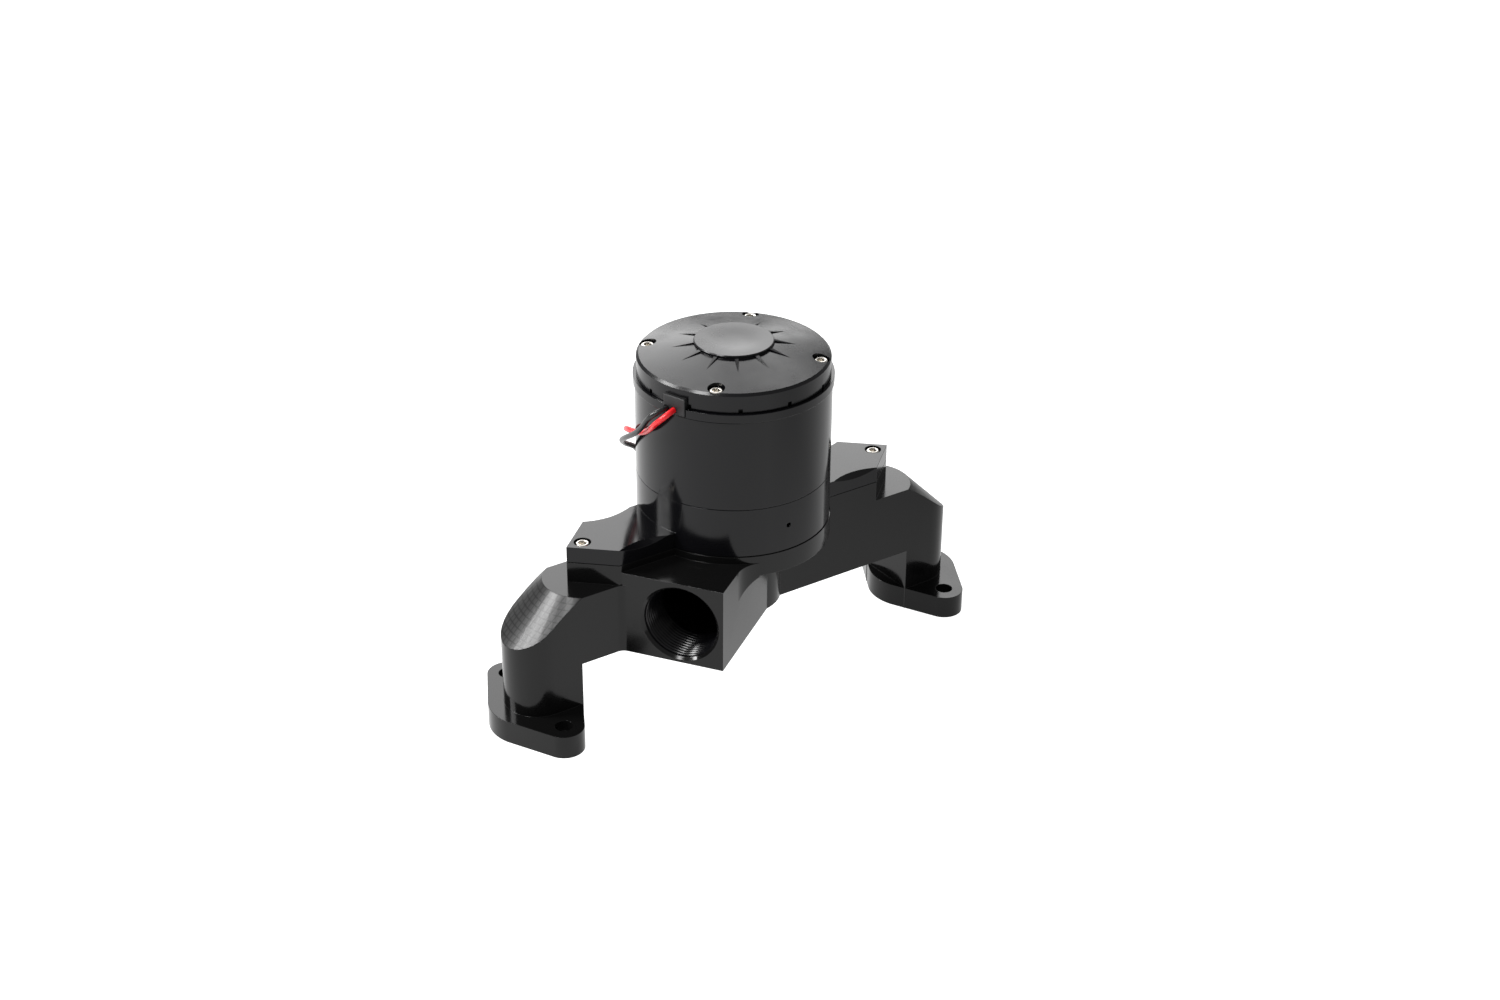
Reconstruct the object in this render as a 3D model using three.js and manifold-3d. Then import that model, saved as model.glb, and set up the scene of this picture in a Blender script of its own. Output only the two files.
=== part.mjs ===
// Electric engine water pump: a brushed 12 V motor stands on a machined housing with one threaded
// inlet and two hollow legs, each bolted to the engine by its own flange.
// Millimetres, +Z up along the motor axis, flange faces on z = 0, arms along X, inlet towards -Y.

import * as THREE from 'three';
import { mergeVertices } from 'three/addons/utils/BufferGeometryUtils.js';
import Module from 'manifold-3d';

const wasm = await Module();
wasm.setup();

// ---- driving dimensions -------------------------------------------------------------------------

const SEAT_GAP = 0.3;            // between faces that touch on the real pump
const RUN_GAP = 0.3;             // around pieces carried on the shaft

// heights of the main faces, from the flange faces up
const FLANGE_THICK = 14;
const ARCH_TOP = 41;             // underside of the arms and of the inlet block
const INLET_FLOOR = 3.1;         // wall under the inlet's bore
const INLET_ROOF = 3.9;          // and above it
const DECK_TO_JOINT = 4.5;       // top of the inlet block to the joint of housing and cover
const ARM_TO_JOINT = 12.5;
const EAR_THICK = 9.5;
const COVER_HEIGHT = 29.8;
const CAN_HEIGHT = 59.4;
const LIP_HEIGHT = 5;
const CAP_EDGE_HEIGHT = 10;      // straight skirt of the cap
const CAP_CHAMFER = 1.4;
const CAP_DOME = 5.6;            // rise from the rim to the foot of the hub
const HUB_HEIGHT = 2;

// plan sizes
const BODY_R = 56;               // motor can and cover ring
const RIM_STEP = 0.5;            // round rim of the housing, wider than the cover
const LIP_STEP = 1;              // can's lip, wider than the can
const CAP_STEP = 1;              // cap, narrower than the can
const HUB_R = 22.7;
const ARM_HALF = 19.85;          // half the width of an arm
const LEG_X = 132.9;             // axis of each leg
const LEG_TO_ARCH = 18;          // axis to the inner wall of the leg
const LEG_TO_TIP = 21.2;         // axis back to the ear's tip, corner and screw
const LEG_TO_CORNER = 43.6;
const LEG_TO_SCREW = 31.7;
const LEG_TO_SCALLOP = 59.4;     // and to the conical scallops in the ear's edges
const EAR_SCALLOP_R = 35;
const EAR_SCALLOP_DIP = 3.75;    // how far a scallop bites into an ear's edge
const EAR_SCALLOP_SLOPE = 1.5;
const SHOULDER_R = 23.5;         // 45 degree cone that slopes each arm's outer end
const LEG_TO_BOLTS = 2.3;        // axis out to the line of the flange bolts
const FLANGE_BOLT_Y = 32.6;
const FLANGE_LOBE_R = 11.6;
const FLANGE_MID_R = 27;

// inlet block
const INLET_ANGLE = 215.34;      // direction of the inlet from the motor axis, degrees from +X
const INLET_REACH = 83.6;        // motor axis to the port face
const INLET_WALL = 4;            // bore to the block's free side
const INLET_R = 22;
const INLET_CHAMFER = 1.6;
const BLOCK_FILLET_R = 6;        // port face into the arm's front
const RIM_FILLET_R = 18.5;       // free side into the round rim
const RIM_FILLET_DEEP = 24.5;    // joint down to the underside of that fillet at the block
const RIM_FILLET_SHALLOW = 13.5; // and at the rim

// water passages
const PASSAGE_R = 13.5;
const PASSAGE_RISE = 19;         // underside of the arm to the passage's axis
const LEG_TO_ELBOW = 5.9;
const LEG_BORE_R = 14;
const LEG_BORE_RISE = 9;
const CORE_R = 28.6;             // outside of the suction chamber under the rim
const SUCTION_R = 20;
const SUCTION_RISE = 4;          // underside of the core to the chamber's floor
const VOLUTE_R = 46;
const VOLUTE_DEPTH = 8.5;        // joint down to the volute's floor
const VOLUTE_RISE = 6.5;         // and up to its roof
const DISCHARGE_IN = 15;         // volute's wall in to each end of a discharge slot
const DISCHARGE_OUT = 1;
const DISCHARGE_HALF = 11;

// fasteners: 3/8 inch flange bolts, No. 10 socket head screws elsewhere
const FLANGE_BOLT_HOLE_R = 5.15;
const SCREW_R = 2.4;
const SCREW_HOLE_R = SCREW_R + 0.35;
const SCREW_HEAD_R = 3.95;
const SCREW_HEAD_H = 4.4;
const SCREW_SOCKET_R = 2.3;
const COUNTERBORE_R = 4.9;
const COUNTERBORE_DEPTH = 5;
const TIE_CIRCLE_R = 49.5;
const TIE_ENGAGE = 15;           // thread length of the tie screws in the cover
const EAR_SCREW_ENGAGE = 10;

// seals
const ORING_OUT = 3.7;           // volute's wall out to the ring's wire
const ORING_WIRE_R = 1.35;
const SEAL_HEAD_WALL = 5.5;      // around the shaft
const SEAL_SEAT_LEDGE = 1.5;     // seat's rim on the ledge round the weep chamber
const SEAL_SEAT_H = 4.3;
const SEAL_HEAD_H = 4.4;
const SEAL_ROOM = 0.7;           // above the seat
const WEEP_RISE = 2.3;           // seal pocket's top to the weep hole's axis
const WEEP_R = 1.5;
const WEEP_ANGLE = -90;
const BEARING_LEDGE = 4;         // under the lower bearing's rim
const WEEP_CHAMBER_H = 4.2;

// shaft, and bearings measured outwards from it
const SHAFT_R = 6;
const SHAFT_END_R = 5;
const bearing = (bore, [inner, pitch, outer, rim], ball, width) => ({
  bore, inner: bore + inner, pitch: bore + pitch, outer: bore + outer, rim: bore + rim, ball, width, balls: 7,
});
const LOWER_BEARING = bearing(SHAFT_R, [2.4, 5, 7.6, 10], 2.35, 10);
const UPPER_BEARING = bearing(SHAFT_END_R, [2, 3.95, 5.9, 8], 1.7, 8);
const BEARING_WALL = 3;
const CIRCLIP_H = 1.1;
const WAVE_WASHER_H = 0.6;

// impeller
const IMPELLER_GAP = 4;          // impeller's rim to the volute's wall
const IMPELLER_CLEAR = 1;
const BLADE_HEIGHT = 8;
const BLADE_THICK = 2.2;
const BLADE_COUNT = 6;
const BLADE_ROOT_R = 15;
const BLADE_SWEEP = 55;
const IMPELLER_DISC = 3;
const IMPELLER_HUB_R = 10;
const IMPELLER_HUB_H = 8;
const NUT_R = 8.6;
const NUT_H = 5;

// motor internals
const CAN_WALL = 3;
const FLUX_GAP = 0.5;            // between the flux ring and the tie screws
const FLUX_WALL = 3.8;
const MAGNET_THICK = 4.5;
const MAGNET_COUNT = 4;
const MAGNET_SPAN = 70;
const MAGNET_OVERHANG = 4;       // past each end of the core
const AIR_GAP = 1;
const CORE_ROOM = 29.4;          // can's height less the core's length
const SLOT_COUNT = 12;
const SLOT_WIDTH = 5.8;
const SLOT_DEPTH = 11.5;
const WINDING_OVERHANG = 7;
const WINDING_DEPTH = 4.3;       // end windings reach in past the slots
const COMMUTATOR_R = 15;
const COMMUTATOR_LENGTH = 8.6;
const COMMUTATOR_BARS = 12;
const MAGNET_LOW = 7;            // cover's top to the bottom of the magnets
const BRUSH_PLATE_GAP = 1;       // inside the cap's hollow
const BRUSH_PLATE_THICK = 2;
const BRUSH_HALF = 3.6;
const BRUSH_LENGTH = 12;
const HOLDER_WALL = 1.4;
const HOLDER_LENGTH = 17;
const SPRING_TURNS = 3.5;
const SPRING_R = 2;
const SPRING_WIRE_R = 0.35;

// cap details
const RAY_COUNT = 12;
const RAY_TIP_R = 35;
const RAY_HALF = 1.25;            // half width and height at the hub's edge
const RAY_RISE = 0.9;
const HUB_DISH_R = 13;
const HUB_DISH = 0.5;
const NOTCH_COUNT = 12;
const NOTCH_WIDTH = 2.4;
const NOTCH_HEIGHT = 2.6;
const NOTCH_DEPTH = 1.8;
const CAP_ROOF = 4;              // skirt's top edge down to the roof of the cap's hollow
const CAP_HOLLOW_WALL = 1.25;    // between the hollow and the tie screws' holes

// lead exit
const LEAD_R = 1.6;
const GROMMET_ANGLE = -158.7;
const GROMMET_HALF = 7;
const GROMMET_BELOW = 4.3;       // how far it reaches below the can's top
const GROMMET_ABOVE = 6.2;
const GROMMET_INWARD = 5.5;      // reach inside the can's wall
const GROMMET_PROUD = 0.2;       // and past its lip
const LEAD_EXIT_BELOW = 2;       // lead axis below the can's top
const RED_SHIFT = -0.3;          // sideways from the grommet's middle
const BLACK_SHIFT = -5.0;
const TERMINAL_R = 2.9;
const TERMINAL_LENGTH = 20;

// ---- sizes that follow --------------------------------------------------------------------------

const RIM_R = BODY_R + RIM_STEP;
const LIP_R = BODY_R + LIP_STEP;
const CAP_R = BODY_R - CAP_STEP;
const ARCH_HALF = LEG_X - LEG_TO_ARCH;
const EAR_TIP_X = LEG_X - LEG_TO_TIP;
const EAR_CORNER_X = LEG_X - LEG_TO_CORNER;
const EAR_SCREW_X = LEG_X - LEG_TO_SCREW;
const EAR_SCALLOP_X = LEG_X - LEG_TO_SCALLOP;
const FLANGE_BOLT_X = LEG_X + LEG_TO_BOLTS;
const ELBOW_X = LEG_X - LEG_TO_ELBOW;
const INLET_HALF = INLET_R + INLET_WALL;
const IMPELLER_R = VOLUTE_R - IMPELLER_GAP;
const ORING_R = VOLUTE_R + ORING_OUT;
const SEAL_HEAD_R = SHAFT_R + SEAL_HEAD_WALL;
const WEEP_CHAMBER_R = LOWER_BEARING.rim - BEARING_LEDGE;
const SEAL_SEAT_R = WEEP_CHAMBER_R + SEAL_SEAT_LEDGE;
const FLUX_R = TIE_CIRCLE_R - SCREW_R - FLUX_GAP;
const CAP_HOLLOW_R = TIE_CIRCLE_R - SCREW_HOLE_R - CAP_HOLLOW_WALL;
const BRUSH_PLATE_R = CAP_HOLLOW_R - BRUSH_PLATE_GAP;
const GROMMET_IN_R = BODY_R - CAN_WALL - GROMMET_INWARD;
const GROMMET_OUT_R = LIP_R + GROMMET_PROUD;

const INLET_Z = ARCH_TOP + INLET_FLOOR + INLET_R;
const DECK_TOP = INLET_Z + INLET_R + INLET_ROOF;
const JOINT = DECK_TOP + DECK_TO_JOINT;
const ARM_TOP = JOINT - ARM_TO_JOINT;
const RIM_FILLET_LOW = JOINT - RIM_FILLET_DEEP;
const RIM_FILLET_HIGH = JOINT - RIM_FILLET_SHALLOW;
const PASSAGE_Z = ARCH_TOP + PASSAGE_RISE;
const LEG_BORE_TOP = ARCH_TOP + LEG_BORE_RISE;
const SUCTION_FLOOR = ARCH_TOP + SUCTION_RISE;
const VOLUTE_FLOOR = JOINT - VOLUTE_DEPTH;
const VOLUTE_ROOF = JOINT + VOLUTE_RISE;
const IMPELLER_LOW = VOLUTE_FLOOR + IMPELLER_CLEAR;
const IMPELLER_TOP = IMPELLER_LOW + BLADE_HEIGHT + IMPELLER_DISC;
const SEAL_SEAT_FOOT = IMPELLER_TOP + 2 * SEAT_GAP + SEAL_HEAD_H;
const SEAL_POCKET_TOP = SEAL_SEAT_FOOT + SEAL_SEAT_H + SEAL_ROOM;
const WEEP_Z = SEAL_POCKET_TOP + WEEP_RISE;
const LOWER_BEARING_Z = SEAL_POCKET_TOP + WEEP_CHAMBER_H;
const EAR_TOP = JOINT + SEAT_GAP + EAR_THICK;
const COVER_TOP = JOINT + COVER_HEIGHT;
const CAN_BOTTOM = COVER_TOP + SEAT_GAP;
const CAN_TOP = CAN_BOTTOM + CAN_HEIGHT;
const CAP_BOTTOM = CAN_TOP + SEAT_GAP;
const CAP_EDGE = CAP_BOTTOM + CAP_EDGE_HEIGHT;
const CAP_RIM = CAP_EDGE + CAP_CHAMFER;
const HUB_FOOT = CAP_RIM + CAP_DOME;
const HUB_TOP = HUB_FOOT + HUB_HEIGHT;
const UPPER_BEARING_Z = CAP_BOTTOM + 2;
const inletAngle = THREE.MathUtils.degToRad(INLET_ANGLE);
const inletOut = new THREE.Vector2(Math.cos(inletAngle), Math.sin(inletAngle));
const inletSide = new THREE.Vector2(-inletOut.y, inletOut.x);
const blockCorner = inletOut.clone().multiplyScalar(INLET_REACH).addScaledVector(inletSide, INLET_HALF);
const CENTRE_Y = (-blockCorner.y - LIP_R) / 2;   // centres the base of the box on the origin

// ---- materials ----------------------------------------------------------------------------------

function finish(colour, roughness, metalness) {
  return new THREE.MeshStandardMaterial({ color: colour, roughness, metalness });
}

const blackAnodised = finish(0x17171a, 0.25, 0.6);
const stainless = finish(0xb9b9b6, 0.3, 1);
const bearingSteel = finish(0xa9abad, 0.25, 1);
const blackRubber = finish(0x141414, 0.7, 0);
const copper = finish(0xb87333, 0.35, 1);
const laminatedSteel = finish(0x6d6f72, 0.5, 1);
const zincSteel = finish(0x8d9094, 0.4, 1);
const ferrite = finish(0x2d2c2b, 0.7, 0);
const castAluminium = finish(0x9fa2a5, 0.45, 1);
const ceramic = finish(0xd9d6cd, 0.3, 0);
const carbon = finish(0x242424, 0.5, 0.1);
const phenolic = finish(0x5a3a22, 0.6, 0);
const redInsulation = finish(0xc81e23, 0.4, 0);
const blackInsulation = finish(0x1a1a1b, 0.4, 0);

// ---- solids -------------------------------------------------------------------------------------

function toSolid(geometry) {
  const bare = geometry.clone();
  bare.deleteAttribute('normal');
  bare.deleteAttribute('uv');
  const merged = mergeVertices(bare, 1e-4);
  const mesh = new wasm.Mesh({
    numProp: 3,
    vertProperties: new Float32Array(merged.attributes.position.array),
    triVerts: new Uint32Array(merged.index.array),
  });
  return new wasm.Manifold(mesh);
}

function toGeometry(solid) {
  const mesh = solid.getMesh();
  const geometry = new THREE.BufferGeometry();
  geometry.setAttribute('position', new THREE.BufferAttribute(new Float32Array(mesh.vertProperties), 3));
  geometry.setIndex(new THREE.BufferAttribute(new Uint32Array(mesh.triVerts), 1));
  geometry.computeVertexNormals();
  return geometry;
}

function union(solids) {
  return solids.reduce((all, one) => all.add(one));
}

function cut(solid, tools) {
  return tools.reduce((left, tool) => left.subtract(tool), solid);
}

// upright round bar between two heights
function rodGeometry(radius, low, high, x = 0, y = 0, sides = 48) {
  const geometry = new THREE.CylinderGeometry(radius, radius, high - low, sides);
  return geometry.rotateX(Math.PI / 2).translate(x, y, (low + high) / 2);
}

function rod(...sizes) {
  return toSolid(rodGeometry(...sizes));
}

function block(x0, x1, y0, y1, z0, z1) {
  const geometry = new THREE.BoxGeometry(x1 - x0, y1 - y0, z1 - z0);
  return toSolid(geometry.translate((x0 + x1) / 2, (y0 + y1) / 2, (z0 + z1) / 2));
}

function prism(points, low, high) {
  const geometry = new THREE.ExtrudeGeometry(new THREE.Shape(points), {
    depth: high - low,
    bevelEnabled: false,
    curveSegments: 24,
  });
  return toSolid(geometry.translate(0, 0, low));
}

// turned piece about +Z from [radius, height] corners that close on themselves or on the axis
function turnedGeometry(profile, sides = 48) {
  const closed = profile[0][0] > 0 ? [...profile, profile[0]] : profile;
  const points = closed.map(([radius, height]) => new THREE.Vector2(radius, height));
  return new THREE.LatheGeometry(points, sides).rotateX(Math.PI / 2);
}

function turned(profile, sides) {
  return toSolid(turnedGeometry(profile, sides));
}

function ring(inner, outer, low, high, sides = 48) {
  return turned([[inner, low], [outer, low], [outer, high], [inner, high]], sides);
}

function turnAbout(solid, degrees) {
  return solid.rotate([0, 0, degrees]);
}

function repeatAbout(solid, count, offset = 0) {
  return Array.from({ length: count }, (_, k) => turnAbout(solid, offset + (360 * k) / count));
}

function arcPoints(cx, cy, radius, from, to, steps) {
  return Array.from({ length: steps + 1 }, (_, k) => {
    const angle = from + ((to - from) * k) / steps;
    return new THREE.Vector2(cx + radius * Math.cos(angle), cy + radius * Math.sin(angle));
  });
}

// convex outline round a set of discs, from the furthest disc in each direction
function outlineRound(discs, steps = 60) {
  const points = [];
  for (let k = 0; k < steps; k += 1) {
    const angle = (2 * Math.PI * k) / steps;
    const [dx, dy] = [Math.cos(angle), Math.sin(angle)];
    const reach = discs.map(([x, y, r]) => x * dx + y * dy + r);
    const [x, y, r] = discs[reach.indexOf(Math.max(...reach))];
    points.push(new THREE.Vector2(x + r * dx, y + r * dy));
  }
  return points;
}

const pump = new THREE.Group();
pump.position.y = CENTRE_Y;

function place(name, shape, material) {
  const geometry = shape.isBufferGeometry ? shape : toGeometry(shape);
  const mesh = new THREE.Mesh(geometry, material);
  mesh.name = name;
  pump.add(mesh);
  return mesh;
}

// ---- shared outlines ----------------------------------------------------------------------------

// bar between the two ear tips, with chamfered ends
const earOutline = [
  new THREE.Vector2(EAR_TIP_X, 0),
  new THREE.Vector2(EAR_CORNER_X, ARM_HALF),
  new THREE.Vector2(-EAR_CORNER_X, ARM_HALF),
  new THREE.Vector2(-EAR_TIP_X, 0),
  new THREE.Vector2(-EAR_CORNER_X, -ARM_HALF),
  new THREE.Vector2(EAR_CORNER_X, -ARM_HALF),
];

const tiePositions = [45, 135, 225, 315].map((degrees) => {
  const angle = THREE.MathUtils.degToRad(degrees);
  return [TIE_CIRCLE_R * Math.cos(angle), TIE_CIRCLE_R * Math.sin(angle)];
});

// ---- pump housing -------------------------------------------------------------------------------

function armsAndLegs() {
  const outline = [
    ...arcPoints(LEG_X, 0, ARM_HALF, -Math.PI / 2, Math.PI / 2, 16),
    ...arcPoints(-LEG_X, 0, ARM_HALF, Math.PI / 2, 1.5 * Math.PI, 16),
  ];
  const arch = block(-ARCH_HALF, ARCH_HALF, -ARM_HALF - 1, ARM_HALF + 1, -1, ARCH_TOP);
  const reach = 60;
  const collar = turned([
    [SHOULDER_R - 1, ARM_TOP + 1],
    [SHOULDER_R + reach, ARM_TOP - reach],
    [SHOULDER_R + reach, ARM_TOP + 1],
  ], 48);
  const outerHalf = block(0, 2 * reach, -reach, reach, ARM_TOP - reach - 1, ARM_TOP + 2);
  const shoulder = collar.intersect(outerHalf);
  const shoulders = [
    shoulder.translate([EAR_SCREW_X, 0, 0]),
    turnAbout(shoulder, 180).translate([-EAR_SCREW_X, 0, 0]),
  ];
  return cut(prism(outline, 0, ARM_TOP), [arch, ...shoulders]);
}

function flange(side) {
  const outline = outlineRound([
    [side * FLANGE_BOLT_X, FLANGE_BOLT_Y, FLANGE_LOBE_R],
    [side * FLANGE_BOLT_X, -FLANGE_BOLT_Y, FLANGE_LOBE_R],
    [side * FLANGE_BOLT_X, 0, FLANGE_MID_R],
  ]);
  return prism(outline, 0, FLANGE_THICK);
}

// where the port face's plane meets the front of the arm
function blockHeel() {
  const along = (-ARM_HALF - inletOut.y * INLET_REACH) / inletSide.y;
  return inletOut.clone().multiplyScalar(INLET_REACH).addScaledVector(inletSide, along);
}

function inletBlock() {
  const heel = blockHeel();
  const outline = [
    blockCorner,
    inletSide.clone().multiplyScalar(INLET_HALF),
    new THREE.Vector2(0, 0),
    new THREE.Vector2(heel.x, 0),
    heel,
  ];
  return prism(outline, ARCH_TOP, DECK_TOP);
}

// concave fillet between the port face and the arm's front
function heelFillet() {
  const heel = blockHeel();
  const alongFace = blockCorner.clone().sub(heel).normalize();
  const alongArm = new THREE.Vector2(-1, 0);
  const half = Math.acos(alongFace.dot(alongArm)) / 2;
  const middle = alongFace.clone().add(alongArm).normalize();
  const centre = heel.clone().addScaledVector(middle, BLOCK_FILLET_R / Math.sin(half));
  const spread = Math.PI / 2 - half;
  const back = Math.atan2(-middle.y, -middle.x);
  const arc = arcPoints(centre.x, centre.y, BLOCK_FILLET_R, back - spread, back + spread, 6);
  const inside = heel.clone().addScaledVector(middle, -1);
  return prism([inside, ...arc], ARCH_TOP, ARM_TOP);
}

// concave fillet that sweeps from the block's free side into the round rim
function rimFillet() {
  const across = INLET_HALF + RIM_FILLET_R;
  const along = Math.sqrt((RIM_R + RIM_FILLET_R) ** 2 - across ** 2);
  const centre = inletSide.clone().multiplyScalar(across).addScaledVector(inletOut, along);
  const blockEnd = centre.clone().addScaledVector(inletSide, -RIM_FILLET_R);
  const rimEnd = centre.clone().multiplyScalar(RIM_R / (RIM_R + RIM_FILLET_R));
  const from = Math.atan2(-inletSide.y, -inletSide.x);
  let to = Math.atan2(-centre.y, -centre.x);
  if (to > from) to -= 2 * Math.PI;
  const arc = arcPoints(centre.x, centre.y, RIM_FILLET_R, from, from - Math.abs(from - to), 10);
  const span = rimEnd.distanceTo(blockEnd);
  const low = RIM_FILLET_LOW - 10;
  const fill = prism([
    ...arc,
    rimEnd.clone().multiplyScalar(0.8),
    blockEnd.clone().addScaledVector(inletOut, -0.9 * along).addScaledVector(inletSide, -1),
    blockEnd.clone().addScaledVector(inletSide, -1),
  ], low, DECK_TOP);
  const rise = (RIM_FILLET_HIGH - RIM_FILLET_LOW) / span;
  const past = 80;
  const wedge = toSolid(new THREE.ExtrudeGeometry(new THREE.Shape([
    new THREE.Vector2(-past, low - past * rise - 5),
    new THREE.Vector2(past, low - past * rise - 5),
    new THREE.Vector2(past, RIM_FILLET_LOW + past * rise),
    new THREE.Vector2(-past, RIM_FILLET_LOW - past * rise),
  ]), { depth: 2 * past, bevelEnabled: false }).translate(0, 0, -past).rotateX(Math.PI / 2));
  const heading = Math.atan2(rimEnd.y - blockEnd.y, rimEnd.x - blockEnd.x);
  const tool = turnAbout(wedge, THREE.MathUtils.radToDeg(heading)).translate([blockEnd.x, blockEnd.y, 0]);
  return fill.subtract(tool);
}

function inletTool() {
  const mouth = INLET_REACH;
  const bore = new THREE.CylinderGeometry(INLET_R, INLET_R, mouth + 1, 40);
  bore.rotateZ(-Math.PI / 2).translate((mouth + 1) / 2, 0, 0);
  const wide = INLET_R + INLET_CHAMFER + 1;
  const chamfer = new THREE.CylinderGeometry(wide, INLET_R, wide - INLET_R, 40);
  chamfer.rotateZ(-Math.PI / 2).translate(mouth + 1 - (wide - INLET_R) / 2, 0, 0);
  const tool = toSolid(bore).add(toSolid(chamfer));
  return turnAbout(tool, INLET_ANGLE).translate([0, 0, INLET_Z]);
}

function waterPassages() {
  const tools = [
    rod(SUCTION_R, SUCTION_FLOOR, VOLUTE_FLOOR + 1, 0, 0, 28),
    rod(VOLUTE_R, VOLUTE_FLOOR, JOINT + 1),
  ];
  for (const side of [-1, 1]) {
    const inner = VOLUTE_R - DISCHARGE_IN;
    const outer = VOLUTE_R - DISCHARGE_OUT;
    const slot = [Math.min(side * inner, side * outer), Math.max(side * inner, side * outer)];
    tools.push(block(...slot, -DISCHARGE_HALF, DISCHARGE_HALF, PASSAGE_Z, VOLUTE_FLOOR + 1));
    const arm = new THREE.CylinderGeometry(PASSAGE_R, PASSAGE_R, ELBOW_X - inner, 20);
    arm.rotateZ(Math.PI / 2).translate((side * (ELBOW_X + inner)) / 2, 0, PASSAGE_Z);
    tools.push(toSolid(arm));
    const elbow = new THREE.SphereGeometry(PASSAGE_R, 16, 10).translate(side * ELBOW_X, 0, PASSAGE_Z - 2);
    tools.push(toSolid(elbow));
    tools.push(rod(LEG_BORE_R, -1, LEG_BORE_TOP, side * LEG_X, 0, 24));
  }
  return tools;
}

function housing() {
  const body = union([
    armsAndLegs(),
    flange(-1),
    flange(1),
    prism(earOutline, ARM_TOP - 6, JOINT),
    rod(RIM_R, ARM_TOP, JOINT, 0, 0, 60),
    rod(CORE_R, ARCH_TOP, ARM_TOP + 2),
    inletBlock(),
    heelFillet(),
    rimFillet(),
  ]);
  const groove = ORING_WIRE_R + 0.25;
  const tools = [
    ...waterPassages(),
    inletTool(),
    ring(ORING_R - groove, ORING_R + groove, JOINT - 2 * ORING_WIRE_R - 0.3, JOINT + 1, 36),
  ];
  for (const side of [-1, 1]) {
    for (const end of [-1, 1]) {
      const [x, y] = [side * FLANGE_BOLT_X, end * FLANGE_BOLT_Y];
      tools.push(rod(FLANGE_BOLT_HOLE_R, -1, FLANGE_THICK + 1, x, y, 20));
    }
    tools.push(rod(SCREW_HOLE_R, JOINT - EAR_SCREW_ENGAGE - 2, JOINT + 1, side * EAR_SCREW_X, 0, 12));
  }
  return cut(body, tools);
}

// ---- volute cover -------------------------------------------------------------------------------

// cone that scallops one edge of an ear, deepest level with the scallop's middle
function scallopTool(x, side) {
  const depth = 10;
  const geometry = new THREE.CylinderGeometry(
    EAR_SCALLOP_R + EAR_SCALLOP_SLOPE,
    EAR_SCALLOP_R - depth * EAR_SCALLOP_SLOPE,
    depth + 1,
    48,
  );
  geometry.rotateX(Math.PI / 2).translate(0, 0, EAR_TOP + 1 - (depth + 1) / 2);
  const away = ARM_HALF + EAR_SCALLOP_R - EAR_SCALLOP_DIP;
  return toSolid(geometry.translate(x, side * away, 0));
}

function cover() {
  const foot = JOINT + SEAT_GAP;
  const scallops = [];
  for (const x of [-EAR_SCALLOP_X, EAR_SCALLOP_X]) {
    scallops.push(scallopTool(x, -1), scallopTool(x, 1));
  }
  const ears = cut(prism(earOutline, foot, EAR_TOP), scallops);
  const body = ears.add(rod(BODY_R, foot, COVER_TOP, 0, 0, 60));
  const weep = new THREE.CylinderGeometry(WEEP_R, WEEP_R, BODY_R, 12);
  weep.rotateZ(Math.PI / 2).translate(WEEP_CHAMBER_R / 2 + BODY_R / 2, 0, WEEP_Z);
  const tools = [
    rod(VOLUTE_R, foot - 1, VOLUTE_ROOF),
    rod(SEAL_SEAT_R + SEAT_GAP, VOLUTE_ROOF - 1, SEAL_POCKET_TOP, 0, 0, 28),
    rod(WEEP_CHAMBER_R, SEAL_POCKET_TOP - 1, LOWER_BEARING_Z + 1, 0, 0, 24),
    rod(LOWER_BEARING.rim + SEAT_GAP, LOWER_BEARING_Z, COVER_TOP + 1, 0, 0, 32),
    turnAbout(toSolid(weep), WEEP_ANGLE),
  ];
  for (const side of [-1, 1]) {
    tools.push(rod(SCREW_HOLE_R, foot - 1, EAR_TOP + 1, side * EAR_SCREW_X, 0, 12));
    tools.push(rod(COUNTERBORE_R, EAR_TOP - COUNTERBORE_DEPTH, EAR_TOP + 1, side * EAR_SCREW_X, 0, 20));
  }
  for (const [x, y] of tiePositions) {
    tools.push(rod(SCREW_HOLE_R, COVER_TOP - TIE_ENGAGE - 2, COVER_TOP + 1, x, y, 12));
  }
  return cut(body, tools);
}

// ---- fasteners ----------------------------------------------------------------------------------

function socketScrew(x, y, seat, end) {
  const head = rod(SCREW_HEAD_R, seat, seat + SCREW_HEAD_H, 0, 0, 18);
  const shank = rod(SCREW_R, end, seat + 1, 0, 0, 10);
  const socket = rod(SCREW_SOCKET_R, seat + SCREW_HEAD_H - 2.6, seat + SCREW_HEAD_H + 1, 0, 0, 6);
  return cut(head.add(shank), [socket]).translate([x, y, 0]);
}

function hexNut() {
  const nut = rod(NUT_R, 0, NUT_H, 0, 0, 6);
  const top = VOLUTE_FLOOR + IMPELLER_CLEAR + BLADE_HEIGHT + IMPELLER_DISC - IMPELLER_HUB_H - SEAT_GAP;
  return cut(nut, [rod(SHAFT_END_R + RUN_GAP, -1, NUT_H + 1, 0, 0, 24)]).translate([0, 0, top - NUT_H]);
}

// ---- rotating group -----------------------------------------------------------------------------

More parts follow.
